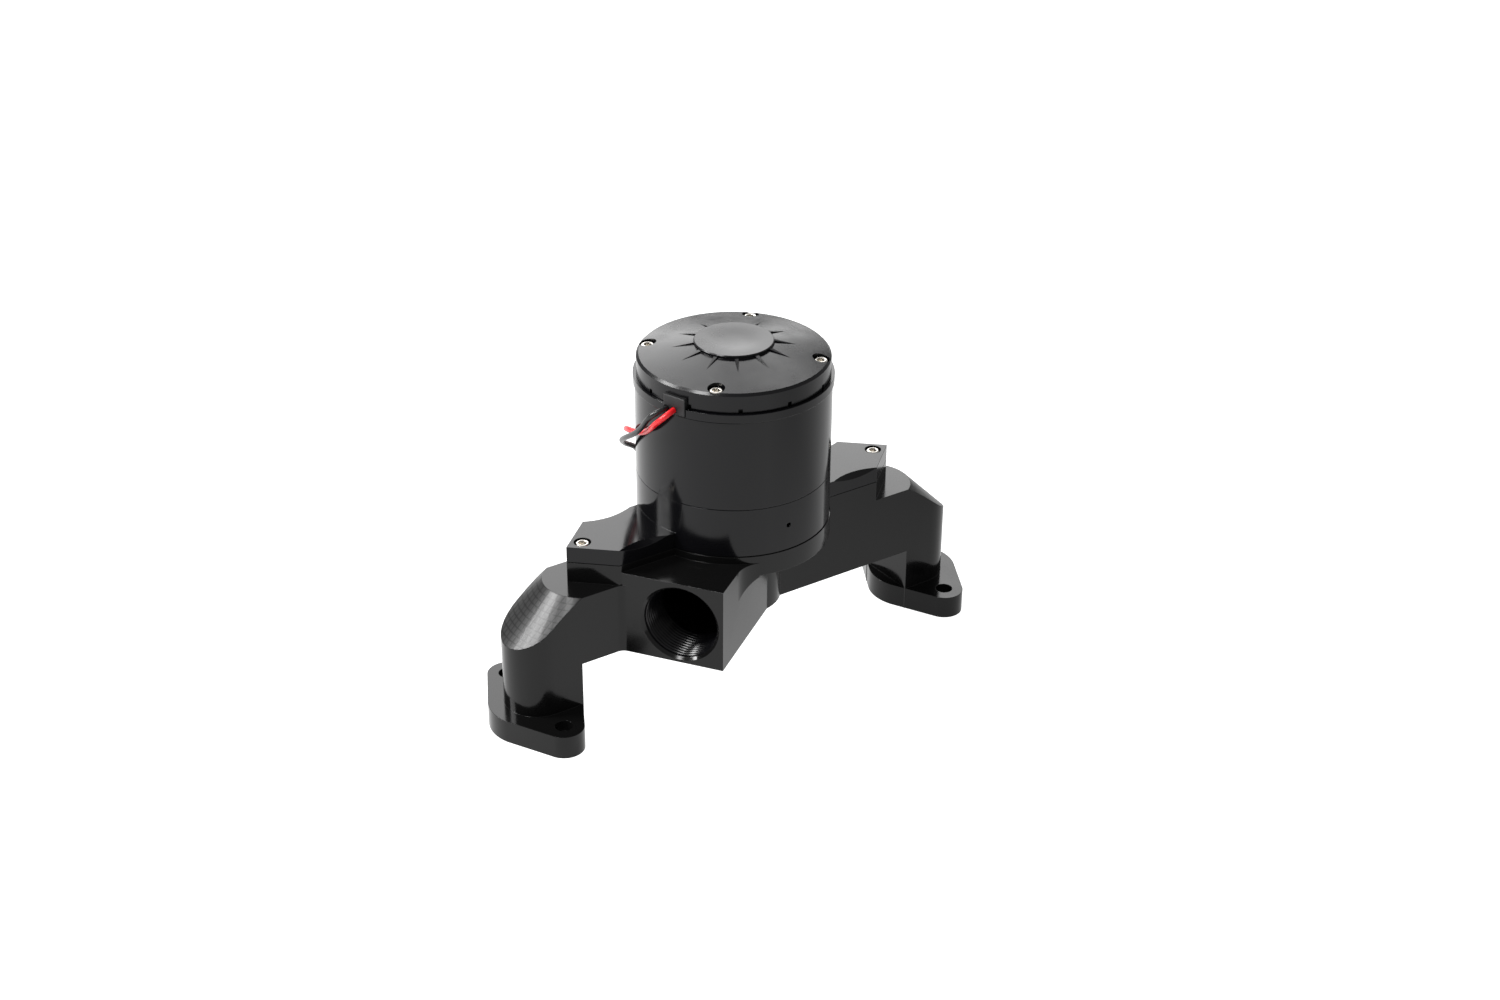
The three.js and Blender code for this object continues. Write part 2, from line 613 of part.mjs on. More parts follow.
// backward-swept blade of even thickness; its line turns by an even angle for each step outwards
function blade() {
  const steps = 7;
  const line = Array.from({ length: steps + 1 }, (_, k) => {
    const radius = BLADE_ROOT_R + ((IMPELLER_R - 1 - BLADE_ROOT_R) * k) / steps;
    const angle = THREE.MathUtils.degToRad((-BLADE_SWEEP * k) / steps);
    return new THREE.Vector2(radius * Math.cos(angle), radius * Math.sin(angle));
  });
  const sides = [-1, 1].map((side) => line.map((point, k) => {
    const ahead = line[Math.min(k + 1, steps)].clone().sub(line[Math.max(k - 1, 0)]).normalize();
    return new THREE.Vector2(-ahead.y, ahead.x).multiplyScalar((side * BLADE_THICK) / 2).add(point);
  }));
  return prism([...sides[0], ...sides[1].reverse()], IMPELLER_LOW, IMPELLER_TOP - 1);
}

function impeller() {
  const body = union([
    rod(IMPELLER_R, IMPELLER_TOP - IMPELLER_DISC, IMPELLER_TOP),
    rod(IMPELLER_HUB_R, IMPELLER_TOP - IMPELLER_HUB_H, IMPELLER_TOP, 0, 0, 24),
    ...repeatAbout(blade(), BLADE_COUNT),
  ]);
  return cut(body, [rod(SHAFT_R + RUN_GAP, IMPELLER_LOW - 1, IMPELLER_TOP + 1, 0, 0, 24)]);
}

function shaftGeometry() {
  const hubFoot = IMPELLER_TOP - IMPELLER_HUB_H;
  const low = hubFoot - NUT_H - 2;
  const top = UPPER_BEARING_Z + UPPER_BEARING.width;
  return turnedGeometry([
    [0, low], [SHAFT_END_R, low], [SHAFT_END_R, hubFoot], [SHAFT_R, hubFoot],
    [SHAFT_R, UPPER_BEARING_Z - SEAT_GAP], [SHAFT_END_R, UPPER_BEARING_Z - SEAT_GAP],
    [SHAFT_END_R, top], [0, top],
  ], 24);
}

const CORE_LENGTH = CAN_HEIGHT - CORE_ROOM;
const MAGNET_LENGTH = CORE_LENGTH + 2 * MAGNET_OVERHANG;
const MAGNET_FOOT = CAN_BOTTOM + MAGNET_LOW;
const ROTOR_R = FLUX_R - FLUX_WALL - SEAT_GAP - MAGNET_THICK - AIR_GAP;
const WINDING_INNER_R = ROTOR_R - SLOT_DEPTH - WINDING_DEPTH;
const CORE_FOOT = MAGNET_FOOT + MAGNET_OVERHANG;
const CORE_TOP = CORE_FOOT + CORE_LENGTH;
const COMMUTATOR_FOOT = CORE_TOP + WINDING_OVERHANG + 1;

function armatureCore() {
  const slot = block(
    ROTOR_R - SLOT_DEPTH, ROTOR_R + 1, -SLOT_WIDTH / 2, SLOT_WIDTH / 2, CORE_FOOT - 1, CORE_TOP + 1,
  );
  return cut(rod(ROTOR_R, CORE_FOOT, CORE_TOP, 0, 0, 48), [
    ...repeatAbout(slot, SLOT_COUNT),
    rod(SHAFT_R + RUN_GAP, CORE_FOOT - 1, CORE_TOP + 1, 0, 0, 24),
  ]);
}

function winding() {
  const outer = ROTOR_R - 3;
  const inner = ROTOR_R - SLOT_DEPTH + SEAT_GAP;
  const half = SLOT_WIDTH / 2 - SEAT_GAP;
  const foot = CORE_FOOT - WINDING_OVERHANG;
  const top = CORE_TOP + WINDING_OVERHANG;
  const bar = block(inner, outer - 1, -half, half, foot + 1, top - 1);
  return union([
    ring(WINDING_INNER_R, outer, foot, CORE_FOOT - SEAT_GAP, 24),
    ring(WINDING_INNER_R, outer, CORE_TOP + SEAT_GAP, top, 24),
    ...repeatAbout(bar, SLOT_COUNT),
  ]);
}

function commutator() {
  const top = COMMUTATOR_FOOT + COMMUTATOR_LENGTH;
  const groove = block(COMMUTATOR_R - 1, COMMUTATOR_R + 5, -0.3, 0.3, COMMUTATOR_FOOT - 1, top + 1);
  return cut(ring(SHAFT_R + RUN_GAP, COMMUTATOR_R, COMMUTATOR_FOOT, top, 24), [
    ...repeatAbout(groove, COMMUTATOR_BARS, 180 / COMMUTATOR_BARS),
  ]);
}

// ---- bearings and seal --------------------------------------------------------------------------

function bearingPieces(size, foot) {
  const low = foot + SEAT_GAP;
  const high = foot + size.width;
  const middle = (low + high) / 2;
  const cage = 0.6;
  const ball = toSolid(new THREE.SphereGeometry(size.ball, 8, 5).translate(size.pitch, 0, middle));
  return {
    outer: ring(size.outer, size.rim - SEAT_GAP, low, high, 32),
    inner: ring(size.bore + RUN_GAP, size.inner, low, high, 24),
    balls: union([
      ring(size.pitch - cage, size.pitch + cage, middle - 0.6, middle + 0.6, 14),
      ...repeatAbout(ball, size.balls),
    ]),
  };
}

function circlip() {
  const low = LOWER_BEARING_Z + LOWER_BEARING.width + SEAT_GAP;
  const whole = ring(LOWER_BEARING.outer, LOWER_BEARING.rim, low, low + CIRCLIP_H, 32);
  return whole.subtract(block(0, 2 * LOWER_BEARING.rim, -3, 3, low - 1, low + CIRCLIP_H + 1));
}

// ---- motor --------------------------------------------------------------------------------------

// slot through the can's top and the cap's skirt for the lead grommet
function grommetSpace(clearance) {
  const solid = block(
    GROMMET_IN_R - 4, LIP_R + 3,
    -GROMMET_HALF - clearance, GROMMET_HALF + clearance,
    CAN_TOP - GROMMET_BELOW - clearance, CAN_TOP + GROMMET_ABOVE + clearance,
  );
  return turnAbout(solid, GROMMET_ANGLE);
}

function motorCan() {
  const inner = BODY_R - CAN_WALL;
  const tube = turned([
    [inner, CAN_BOTTOM], [BODY_R, CAN_BOTTOM], [BODY_R, CAN_TOP - LIP_HEIGHT],
    [LIP_R, CAN_TOP - LIP_HEIGHT], [LIP_R, CAN_TOP], [inner, CAN_TOP],
  ], 60);
  return tube.subtract(grommetSpace(SEAT_GAP));
}

function magnet(index) {
  const outer = FLUX_R - FLUX_WALL - SEAT_GAP;
  const inner = outer - MAGNET_THICK;
  const half = THREE.MathUtils.degToRad(MAGNET_SPAN / 2);
  const points = [
    ...arcPoints(0, 0, outer, -half, half, 8),
    ...arcPoints(0, 0, inner, half, -half, 8),
  ];
  const solid = prism(points, MAGNET_FOOT, MAGNET_FOOT + MAGNET_LENGTH);
  return turnAbout(solid, (360 * index) / MAGNET_COUNT);
}

const BRUSH_Z = COMMUTATOR_FOOT + COMMUTATOR_LENGTH / 2;
const HOLDER_OUT = COMMUTATOR_R + 2 + HOLDER_LENGTH;
const HOLDER_HALF = BRUSH_HALF + SEAT_GAP + HOLDER_WALL;
const BRUSH_IN = COMMUTATOR_R + SEAT_GAP;
const BRUSH_OUT = BRUSH_IN + BRUSH_LENGTH;
const PLATE_FOOT = BRUSH_Z + HOLDER_HALF + SEAT_GAP;

function brushHolder() {
  const hole = BRUSH_HALF + SEAT_GAP;
  const body = block(COMMUTATOR_R + 2, HOLDER_OUT, -HOLDER_HALF, HOLDER_HALF, -HOLDER_HALF, HOLDER_HALF);
  const well = block(COMMUTATOR_R, HOLDER_OUT - HOLDER_WALL, -hole, hole, -hole, hole);
  return body.subtract(well).translate([0, 0, BRUSH_Z]);
}

function brush() {
  return block(BRUSH_IN, BRUSH_OUT, -BRUSH_HALF, BRUSH_HALF, BRUSH_Z - BRUSH_HALF, BRUSH_Z + BRUSH_HALF);
}

class CoilCurve extends THREE.Curve {
  getPoint(t, target = new THREE.Vector3()) {
    const start = BRUSH_OUT + SEAT_GAP + SPRING_WIRE_R;
    const end = HOLDER_OUT - HOLDER_WALL - SEAT_GAP - SPRING_WIRE_R;
    const turn = 2 * Math.PI * SPRING_TURNS * t;
    const x = start + (end - start) * t;
    return target.set(x, SPRING_R * Math.cos(turn), BRUSH_Z + SPRING_R * Math.sin(turn));
  }
}

function tubeGeometry(curve, radius, sides, steps) {
  const section = new THREE.Shape(
    Array.from({ length: sides }, (_, k) => {
      const angle = (2 * Math.PI * k) / sides;
      return new THREE.Vector2(radius * Math.cos(angle), radius * Math.sin(angle));
    }),
  );
  return new THREE.ExtrudeGeometry(section, { steps, bevelEnabled: false, extrudePath: curve });
}

function brushSpring() {
  return toSolid(tubeGeometry(new CoilCurve(), SPRING_WIRE_R, 4, 8 * SPRING_TURNS));
}

// ---- cap ----------------------------------------------------------------------------------------

// height of the shallow cone on top of the cap
function domeHeight(radius) {
  const share = (CAP_R - CAP_CHAMFER - radius) / (CAP_R - CAP_CHAMFER - HUB_R);
  return CAP_RIM + CAP_DOME * share;
}

// wedge with a flat top that runs down the cone from the hub's edge to a point
function ray() {
  const start = HUB_R - 1;
  const length = Math.hypot(RAY_TIP_R - start, domeHeight(start) - domeHeight(RAY_TIP_R));
  const fall = Math.atan2(domeHeight(start) - domeHeight(RAY_TIP_R), RAY_TIP_R - start);
  const cone = new THREE.ConeGeometry(Math.SQRT2, length, 4);
  cone.rotateZ(-Math.PI / 2).rotateX(Math.PI / 4).translate(length / 2, 0, 0);
  cone.scale(1, RAY_HALF, RAY_RISE).rotateY(fall).translate(start, 0, domeHeight(start));
  return toSolid(cone);
}

function cap() {
  const roof = CAP_EDGE - CAP_ROOF;
  const pocket = UPPER_BEARING.rim + SEAT_GAP;
  const boss = pocket + BEARING_WALL;
  const pocketTop = UPPER_BEARING_Z + UPPER_BEARING.width + WAVE_WASHER_H + 3 * SEAT_GAP;
  const shell = turned([
    [0, pocketTop], [pocket, pocketTop], [pocket, UPPER_BEARING_Z - 1], [boss, UPPER_BEARING_Z - 1],
    [boss, roof], [CAP_HOLLOW_R, roof], [CAP_HOLLOW_R, CAP_BOTTOM], [CAP_R, CAP_BOTTOM],
    [CAP_R, CAP_EDGE], [CAP_R - CAP_CHAMFER, CAP_RIM], [HUB_R, HUB_FOOT], [HUB_R, HUB_TOP - 0.5],
    [HUB_R - 0.5, HUB_TOP], [HUB_DISH_R, HUB_TOP], [HUB_DISH_R - 4, HUB_TOP - HUB_DISH],
    [0, HUB_TOP - HUB_DISH],
  ], 60);
  const body = union([shell, ...repeatAbout(ray(), RAY_COUNT)]);
  const notch = block(
    CAP_R - NOTCH_DEPTH, CAP_R + 2,
    -NOTCH_WIDTH / 2, NOTCH_WIDTH / 2,
    CAP_BOTTOM - 1, CAP_BOTTOM + NOTCH_HEIGHT,
  );
  const seat = CAP_RIM - COUNTERBORE_DEPTH;
  const tools = [...repeatAbout(notch, NOTCH_COUNT), grommetSpace(SEAT_GAP)];
  for (const [x, y] of tiePositions) {
    tools.push(rod(SCREW_HOLE_R, CAP_BOTTOM - 1, seat + 1, x, y, 12));
    tools.push(rod(COUNTERBORE_R, seat, HUB_TOP, x, y, 20));
  }
  return cut(body, tools);
}

// ---- leads --------------------------------------------------------------------------------------

function grommet() {
  const body = block(
    GROMMET_IN_R, GROMMET_OUT_R, -GROMMET_HALF, GROMMET_HALF,
    CAN_TOP - GROMMET_BELOW, CAN_TOP + GROMMET_ABOVE,
  );
  const holes = [RED_SHIFT, BLACK_SHIFT].map((shift) => {
    const hole = new THREE.CylinderGeometry(LEAD_R + SEAT_GAP, LEAD_R + SEAT_GAP, 20, 10);
    hole.rotateZ(Math.PI / 2).translate(GROMMET_OUT_R, shift, CAN_TOP - LEAD_EXIT_BELOW);
    return toSolid(hole);
  });
  return turnAbout(cut(body, holes), GROMMET_ANGLE);
}

// the leads' routes: out of the grommet, round the can, down behind it and along the bench
const redLeadRoute = [
  [-47.6, -18.2, 184], [-54.1, -20.8, 184], [-58.6, -22.1, 183.1], [-61.8, -20.7, 180.4],
  [-62.9, -16.7, 176.4], [-62.2, -12.1, 172.4], [-61.2, -7.5, 168.7], [-60.3, -2.1, 164.9],
  [-59.8, 4.2, 161.6], [-59.1, 11.5, 158.9], [-57.7, 19.9, 156.2], [-54.5, 27.8, 152.4],
  [-49.9, 34.9, 147.8], [-44.1, 41.1, 142.6], [-38.5, 45.9, 138.4], [-33.3, 49.4, 134.2],
  [-28.6, 52.1, 128], [-25.9, 53.5, 119], [-24.7, 54, 107], [-24.6, 54.1, 93], [-24.6, 54.1, 78],
  [-24.6, 54.1, 64], [-24.7, 54.1, 50], [-25.2, 54.2, 35.6], [-27.6, 54.3, 21.6],
  [-32.9, 54.4, 10.6], [-40.9, 54.4, 3.9], [-50.5, 54.4, 1.8], [-61, 54.2, 1.7], [-73, 53.8, 1.7],
  [-85, 53.3, 1.7], [-97, 52.8, 1.7],
];
const blackLeadRoute = [
  [-49.1, -13.8, 184], [-55.3, -16.2, 184], [-60.1, -16.8, 183.6], [-63.8, -15.2, 181.4],
  [-65, -11.7, 177.4], [-65, -7.1, 171.8], [-65, -1.8, 166.4], [-64.7, 4.6, 161.4],
  [-63.3, 14, 155.2], [-60, 23.5, 148.8], [-54.7, 31.6, 142.6], [-49, 37.7, 137],
  [-42.7, 42.7, 132], [-37.2, 46.6, 127.2], [-32.9, 49.5, 120.6], [-30.6, 50.9, 111],
  [-29.7, 51.4, 99], [-29.7, 51.4, 85], [-29.7, 51.4, 71], [-29.7, 51.4, 58], [-29.9, 51.3, 45],
  [-30.8, 51.1, 31.6], [-34, 50.8, 18.4], [-39.8, 50.3, 8.6], [-48, 49.8, 3.1], [-57.4, 49.2, 1.8],
  [-68, 48.5, 1.7], [-79, 47.6, 1.7], [-90, 46.4, 1.7], [-101, 45.1, 1.7],
];

function routeCurve(route) {
  const points = route.map(([x, y, z]) => new THREE.Vector3(x, y, z));
  return new THREE.CatmullRomCurve3(points, false, 'centripetal');
}

function terminal(route) {
  const curve = routeCurve(route);
  const end = curve.getPoint(1);
  const heading = curve.getTangent(1).setZ(0).normalize();
  const barrel = TERMINAL_R;
  const geometry = turnedGeometry([
    [0, 0], [LEAD_R + 0.5, 0], [barrel, 2.5], [barrel, 12], [barrel - 0.9, 13], [1.9, 13.4],
    [1.9, TERMINAL_LENGTH - 1], [1.1, TERMINAL_LENGTH], [0, TERMINAL_LENGTH],
  ], 12);
  geometry.rotateY(Math.PI / 2).rotateZ(Math.atan2(heading.y, heading.x));
  const start = end.clone().addScaledVector(heading, SEAT_GAP);
  return geometry.translate(start.x, start.y, barrel + 0.05);
}

// ---- assembly -----------------------------------------------------------------------------------

place('pump_housing', housing(), blackAnodised);
place('volute_cover', cover(), blackAnodised);
place('cover_o_ring', new THREE.TorusGeometry(ORING_R, ORING_WIRE_R, 5, 30)
  .translate(0, 0, JOINT - ORING_WIRE_R - 0.05), blackRubber);
place('cover_screw_left', socketScrew(
  -EAR_SCREW_X, 0, EAR_TOP - COUNTERBORE_DEPTH + SEAT_GAP, JOINT - EAR_SCREW_ENGAGE,
), stainless);
place('cover_screw_right', socketScrew(
  EAR_SCREW_X, 0, EAR_TOP - COUNTERBORE_DEPTH + SEAT_GAP, JOINT - EAR_SCREW_ENGAGE,
), stainless);

place('impeller', impeller(), castAluminium);
place('impeller_nut', hexNut(), stainless);
place('shaft', shaftGeometry(), bearingSteel);
place('seal_rotating_head', ring(
  SHAFT_R + RUN_GAP, SEAL_HEAD_R, IMPELLER_TOP + SEAT_GAP, IMPELLER_TOP + SEAT_GAP + SEAL_HEAD_H, 24,
), carbon);
place('seal_stationary_seat', ring(
  SHAFT_R + 1, SEAL_SEAT_R, SEAL_SEAT_FOOT, SEAL_SEAT_FOOT + SEAL_SEAT_H, 24,
), ceramic);

const lower = bearingPieces(LOWER_BEARING, LOWER_BEARING_Z);
place('lower_bearing_outer_race', lower.outer, bearingSteel);
place('lower_bearing_inner_race', lower.inner, bearingSteel);
place('lower_bearing_balls_and_cage', lower.balls, stainless);
place('bearing_circlip', circlip(), zincSteel);
const upper = bearingPieces(UPPER_BEARING, UPPER_BEARING_Z);
place('upper_bearing_outer_race', upper.outer, bearingSteel);
place('upper_bearing_inner_race', upper.inner, bearingSteel);
place('upper_bearing_balls_and_cage', upper.balls, stainless);
const washerFoot = UPPER_BEARING_Z + UPPER_BEARING.width + SEAT_GAP;
place('bearing_wave_washer', ring(
  UPPER_BEARING.outer, UPPER_BEARING.rim - SEAT_GAP, washerFoot, washerFoot + WAVE_WASHER_H, 24,
), zincSteel);

place('motor_can', motorCan(), blackAnodised);
place('flux_ring', ring(
  FLUX_R - FLUX_WALL, FLUX_R, MAGNET_FOOT - 5, MAGNET_FOOT + MAGNET_LENGTH + 5, 48,
), zincSteel);
for (let k = 0; k < MAGNET_COUNT; k += 1) {
  place(`magnet_${k + 1}`, magnet(k), ferrite);
}
place('armature_core', armatureCore(), laminatedSteel);
place('armature_winding', winding(), copper);
place('commutator', commutator(), copper);
place('brush_plate', ring(
  COMMUTATOR_R + 4, BRUSH_PLATE_R, PLATE_FOOT, PLATE_FOOT + BRUSH_PLATE_THICK, 36,
), phenolic);
for (let k = 0; k < 2; k += 1) {
  place(`brush_holder_${k + 1}`, turnAbout(brushHolder(), 180 * k), zincSteel);
  place(`brush_${k + 1}`, turnAbout(brush(), 180 * k), carbon);
  place(`brush_spring_${k + 1}`, turnAbout(brushSpring(), 180 * k), stainless);
}

place('motor_cap', cap(), blackAnodised);
tiePositions.forEach(([x, y], k) => {
  const seat = CAP_RIM - COUNTERBORE_DEPTH + SEAT_GAP;
  place(`tie_screw_${k + 1}`, socketScrew(x, y, seat, COVER_TOP - TIE_ENGAGE), stainless);
});

place('lead_grommet', grommet(), blackRubber);
place('red_lead', tubeGeometry(routeCurve(redLeadRoute), LEAD_R, 8, 36), redInsulation);
place('black_lead', tubeGeometry(routeCurve(blackLeadRoute), LEAD_R, 8, 36), blackInsulation);
place('red_lead_terminal', terminal(redLeadRoute), redInsulation);
place('black_lead_terminal', terminal(blackLeadRoute), blackInsulation);

export default pump;
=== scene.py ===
"""Electric engine water pump: looks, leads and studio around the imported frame. Metres, +Z up the shaft."""

import math

import bmesh
import bpy
import numpy as np
from mathutils import Matrix, Vector


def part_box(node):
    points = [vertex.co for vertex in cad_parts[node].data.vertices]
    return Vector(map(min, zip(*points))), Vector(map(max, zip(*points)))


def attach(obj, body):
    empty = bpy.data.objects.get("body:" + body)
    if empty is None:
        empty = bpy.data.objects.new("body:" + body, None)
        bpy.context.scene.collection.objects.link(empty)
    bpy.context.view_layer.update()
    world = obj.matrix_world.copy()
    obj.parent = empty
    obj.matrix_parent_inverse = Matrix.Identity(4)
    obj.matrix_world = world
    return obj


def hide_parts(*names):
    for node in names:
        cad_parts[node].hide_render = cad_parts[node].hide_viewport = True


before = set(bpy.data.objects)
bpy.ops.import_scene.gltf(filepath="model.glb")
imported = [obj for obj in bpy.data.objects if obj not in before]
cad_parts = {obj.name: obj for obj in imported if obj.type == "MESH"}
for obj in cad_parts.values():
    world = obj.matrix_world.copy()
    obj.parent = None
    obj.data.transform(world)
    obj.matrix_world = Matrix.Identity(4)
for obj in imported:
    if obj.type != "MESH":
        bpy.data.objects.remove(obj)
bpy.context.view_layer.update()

can_low, can_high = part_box("motor_can")
AXIS = Vector(((can_low.x + can_high.x) / 2, (can_low.y + can_high.y) / 2, 0))


# Camera: a long lens looks down on the pump from the inlet side, standing a little over a metre away.
# It turns round the motor's axis, slightly right of it, and is rolled by half a degree.
CAMERA_AZIMUTH = math.radians(-34.4749)
CAMERA_ELEVATION = math.radians(28.9751)
CAMERA_ROLL = math.radians(0.5397)
CAMERA_DISTANCE = 1.35459
CAMERA_AIM = (0.00983, 0.10242)      # right of the motor's axis, and above the bench
CAMERA_LENS = 56.038                 # mm, on a 36 mm wide sensor

to_right = Vector((math.cos(CAMERA_AZIMUTH), math.sin(CAMERA_AZIMUTH), 0))
to_camera = Vector((
    math.sin(CAMERA_AZIMUTH) * math.cos(CAMERA_ELEVATION),
    -math.cos(CAMERA_AZIMUTH) * math.cos(CAMERA_ELEVATION),
    math.sin(CAMERA_ELEVATION),
))
to_top = to_camera.cross(to_right)
rolled_right = math.cos(CAMERA_ROLL) * to_right + math.sin(CAMERA_ROLL) * to_top
rolled_top = math.cos(CAMERA_ROLL) * to_top - math.sin(CAMERA_ROLL) * to_right
eye = AXIS + CAMERA_AIM[0] * to_right + Vector((0, 0, CAMERA_AIM[1])) + CAMERA_DISTANCE * to_camera
lens = bpy.data.cameras.new("camera")
lens.lens = CAMERA_LENS
lens.sensor_width = 36
lens.clip_end = 20
camera = bpy.data.objects.new("camera", lens)
turn = Matrix((rolled_right, rolled_top, to_camera)).transposed().to_4x4()
camera.matrix_world = Matrix.Translation(eye) @ turn
bpy.context.scene.collection.objects.link(camera)
bpy.context.scene.camera = camera


# Supply leads: two stranded copper wires in thin PVC, about 16 gauge. They leave the grommet, slant down
# round the can, hang behind it and lie on the bench. The PVC is smooth and shines softly.
LEAD_DIAMETER = 0.0032
LEAD_STEP = 0.0012


def linear(hex_code):
    """sRGB hex to linear RGB: x / 12.92 near black, ((x + 0.055) / 1.055) to the power 2.4 above it."""
    parts = [int(hex_code[k:k + 2], 16) / 255 for k in (1, 3, 5)]
    return tuple(x / 12.92 if x <= 0.04045 else ((x + 0.055) / 1.055) ** 2.4 for x in parts) + (1.0,)


def add(tree, kind, links=None, **settings):
    """A new node of that kind with its settings, and its sockets fed from other nodes' outputs."""
    node = tree.nodes.new(kind)
    for key, value in settings.items():
        if hasattr(node, key):
            setattr(node, key, value)
        else:
            node.inputs[key.replace("_", " ")].default_value = value
    for socket, source in (links or {}).items():
        tree.links.new(source, node.inputs[socket])
    return node


def new_material(name, hex_code, roughness, metallic=0.0, **sockets):
    """A material with one shader whose plain values sit on its own sockets."""
    material = bpy.data.materials.new(name)
    material.use_nodes = True
    shader = material.node_tree.nodes["Principled BSDF"]
    shader.inputs["Base Color"].default_value = linear(hex_code)
    shader.inputs["Roughness"].default_value = roughness
    shader.inputs["Metallic"].default_value = metallic
    for key, value in sockets.items():
        shader.inputs[key.replace("_", " ")].default_value = value
    return material, material.node_tree, shader


def pvc_insulation(name, hex_code):
    """Extruded PVC: even colour, a soft shine, and the faint lengthwise waver of the strands inside."""
    material, tree, shader = new_material(name, hex_code, 0.32)
    place = add(tree, "ShaderNodeTexCoord")
    waver = add(tree, "ShaderNodeTexNoise", {"Vector": place.outputs["Object"]}, Scale=420.0, Detail=2.0)
    bump = add(tree, "ShaderNodeBump", {"Height": waver.outputs["Fac"]}, Strength=0.25, Distance=0.0002)
    tree.links.new(bump.outputs["Normal"], shader.inputs["Normal"])
    return material


red_pvc = pvc_insulation("red_pvc_insulation", "#d2141c")
black_pvc = pvc_insulation("black_pvc_insulation", "#101011")

RED_ROUTE = (
    (-47.6, -18.2, 184), (-54.1, -20.8, 184), (-58.6, -22.1, 183.1), (-61.8, -20.7, 180.4),
    (-62.9, -16.7, 176.4), (-62.2, -12.1, 172.4), (-61.2, -7.5, 168.7), (-60.3, -2.1, 164.9),
    (-59.8, 4.2, 161.6), (-59.1, 11.5, 158.9), (-57.7, 19.9, 156.2), (-54.5, 27.8, 152.4),
    (-49.9, 34.9, 147.8), (-44.1, 41.1, 142.6), (-38.5, 45.9, 138.4), (-33.3, 49.4, 134.2),
    (-28.6, 52.1, 128), (-25.9, 53.5, 119), (-24.7, 54, 107), (-24.6, 54.1, 93), (-24.6, 54.1, 78),
    (-24.6, 54.1, 64), (-24.7, 54.1, 50), (-25.2, 54.2, 35.6), (-27.6, 54.3, 21.6),
    (-32.9, 54.4, 10.6), (-40.9, 54.4, 3.9), (-50.5, 54.4, 1.8), (-61, 54.2, 1.7), (-73, 53.8, 1.7),
    (-85, 53.3, 1.7), (-97, 52.8, 1.7),
)
BLACK_ROUTE = (
    (-49.1, -13.8, 184), (-55.3, -16.2, 184), (-60.1, -16.8, 183.6), (-63.8, -15.2, 181.4),
    (-65, -11.7, 177.4), (-65, -7.1, 171.8), (-65, -1.8, 166.4), (-64.7, 4.6, 161.4),
    (-63.3, 14, 155.2), (-60, 23.5, 148.8), (-54.7, 31.6, 142.6), (-49, 37.7, 137),
    (-42.7, 42.7, 132), (-37.2, 46.6, 127.2), (-32.9, 49.5, 120.6), (-30.6, 50.9, 111),
    (-29.7, 51.4, 99), (-29.7, 51.4, 85), (-29.7, 51.4, 71), (-29.7, 51.4, 58), (-29.9, 51.3, 45),
    (-30.8, 51.1, 31.6), (-34, 50.8, 18.4), (-39.8, 50.3, 8.6), (-48, 49.8, 3.1), (-57.4, 49.2, 1.8),
    (-68, 48.5, 1.7), (-79, 47.6, 1.7), (-90, 46.4, 1.7), (-101, 45.1, 1.7),
)


def smooth_route(route):
    """Centripetal Catmull-Rom curve: knots lie the square root of the chord apart, and each span mixes the
    four points round it by three rounds of straight mixes. Returned with points LEAD_STEP apart."""
    points = np.array(route) / 1000 + np.array((AXIS.x, AXIS.y, 0))
    padded = np.vstack((2 * points[0] - points[1], points, 2 * points[-1] - points[-2]))
    knots = np.concatenate(((0,), np.cumsum(np.linalg.norm(np.diff(padded, axis=0), axis=1) ** 0.5)))
    p = [padded[k:k + len(points) - 1, None] for k in range(4)]
    t = [knots[k:k + len(points) - 1, None, None] for k in range(4)]
    s = t[1] + (t[2] - t[1]) * np.linspace(0, 1, 24, endpoint=False)[None, :, None]

    def mix(a, b, ta, tb):
        return ((tb - s) * a + (s - ta) * b) / (tb - ta)

    a1, a2, a3 = (mix(p[k], p[k + 1], t[k], t[k + 1]) for k in range(3))
    b1, b2 = mix(a1, a2, t[0], t[2]), mix(a2, a3, t[1], t[3])
    dense = np.vstack((mix(b1, b2, t[1], t[2]).reshape(-1, 3), points[-1]))
    run = np.concatenate(((0,), np.cumsum(np.linalg.norm(np.diff(dense, axis=0), axis=1))))
    even = np.linspace(0, run[-1], int(run[-1] / LEAD_STEP))
    return np.stack([np.interp(even, run, dense[:, k]) for k in range(3)], axis=1), run[-1]


def make_lead(name, node, route, material):
    """One lead as a round curve along its route; returns it, its line and its length."""
    line, length = smooth_route(route)
    data = bpy.data.curves.new(name, "CURVE")
    data.dimensions = "3D"
    spline = data.splines.new("POLY")
    spline.points.add(len(line) - 1)
    spline.points.foreach_set("co", np.hstack((line, np.ones((len(line), 1)))).ravel())
    data.bevel_depth = LEAD_DIAMETER / 2
    data.bevel_resolution = 5
    data.use_fill_caps = True
    data.materials.append(material)
    lead = bpy.data.objects.new(name, data)
    bpy.context.scene.collection.objects.link(lead)
    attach(lead, "frame")
    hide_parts(node)
    return lead, line, length


red_lead, red_line, red_length = make_lead("red_wire", "red_lead", RED_ROUTE, red_pvc)
black_lead, black_line, black_length = make_lead("black_wire", "black_lead", BLACK_ROUTE, black_pvc)


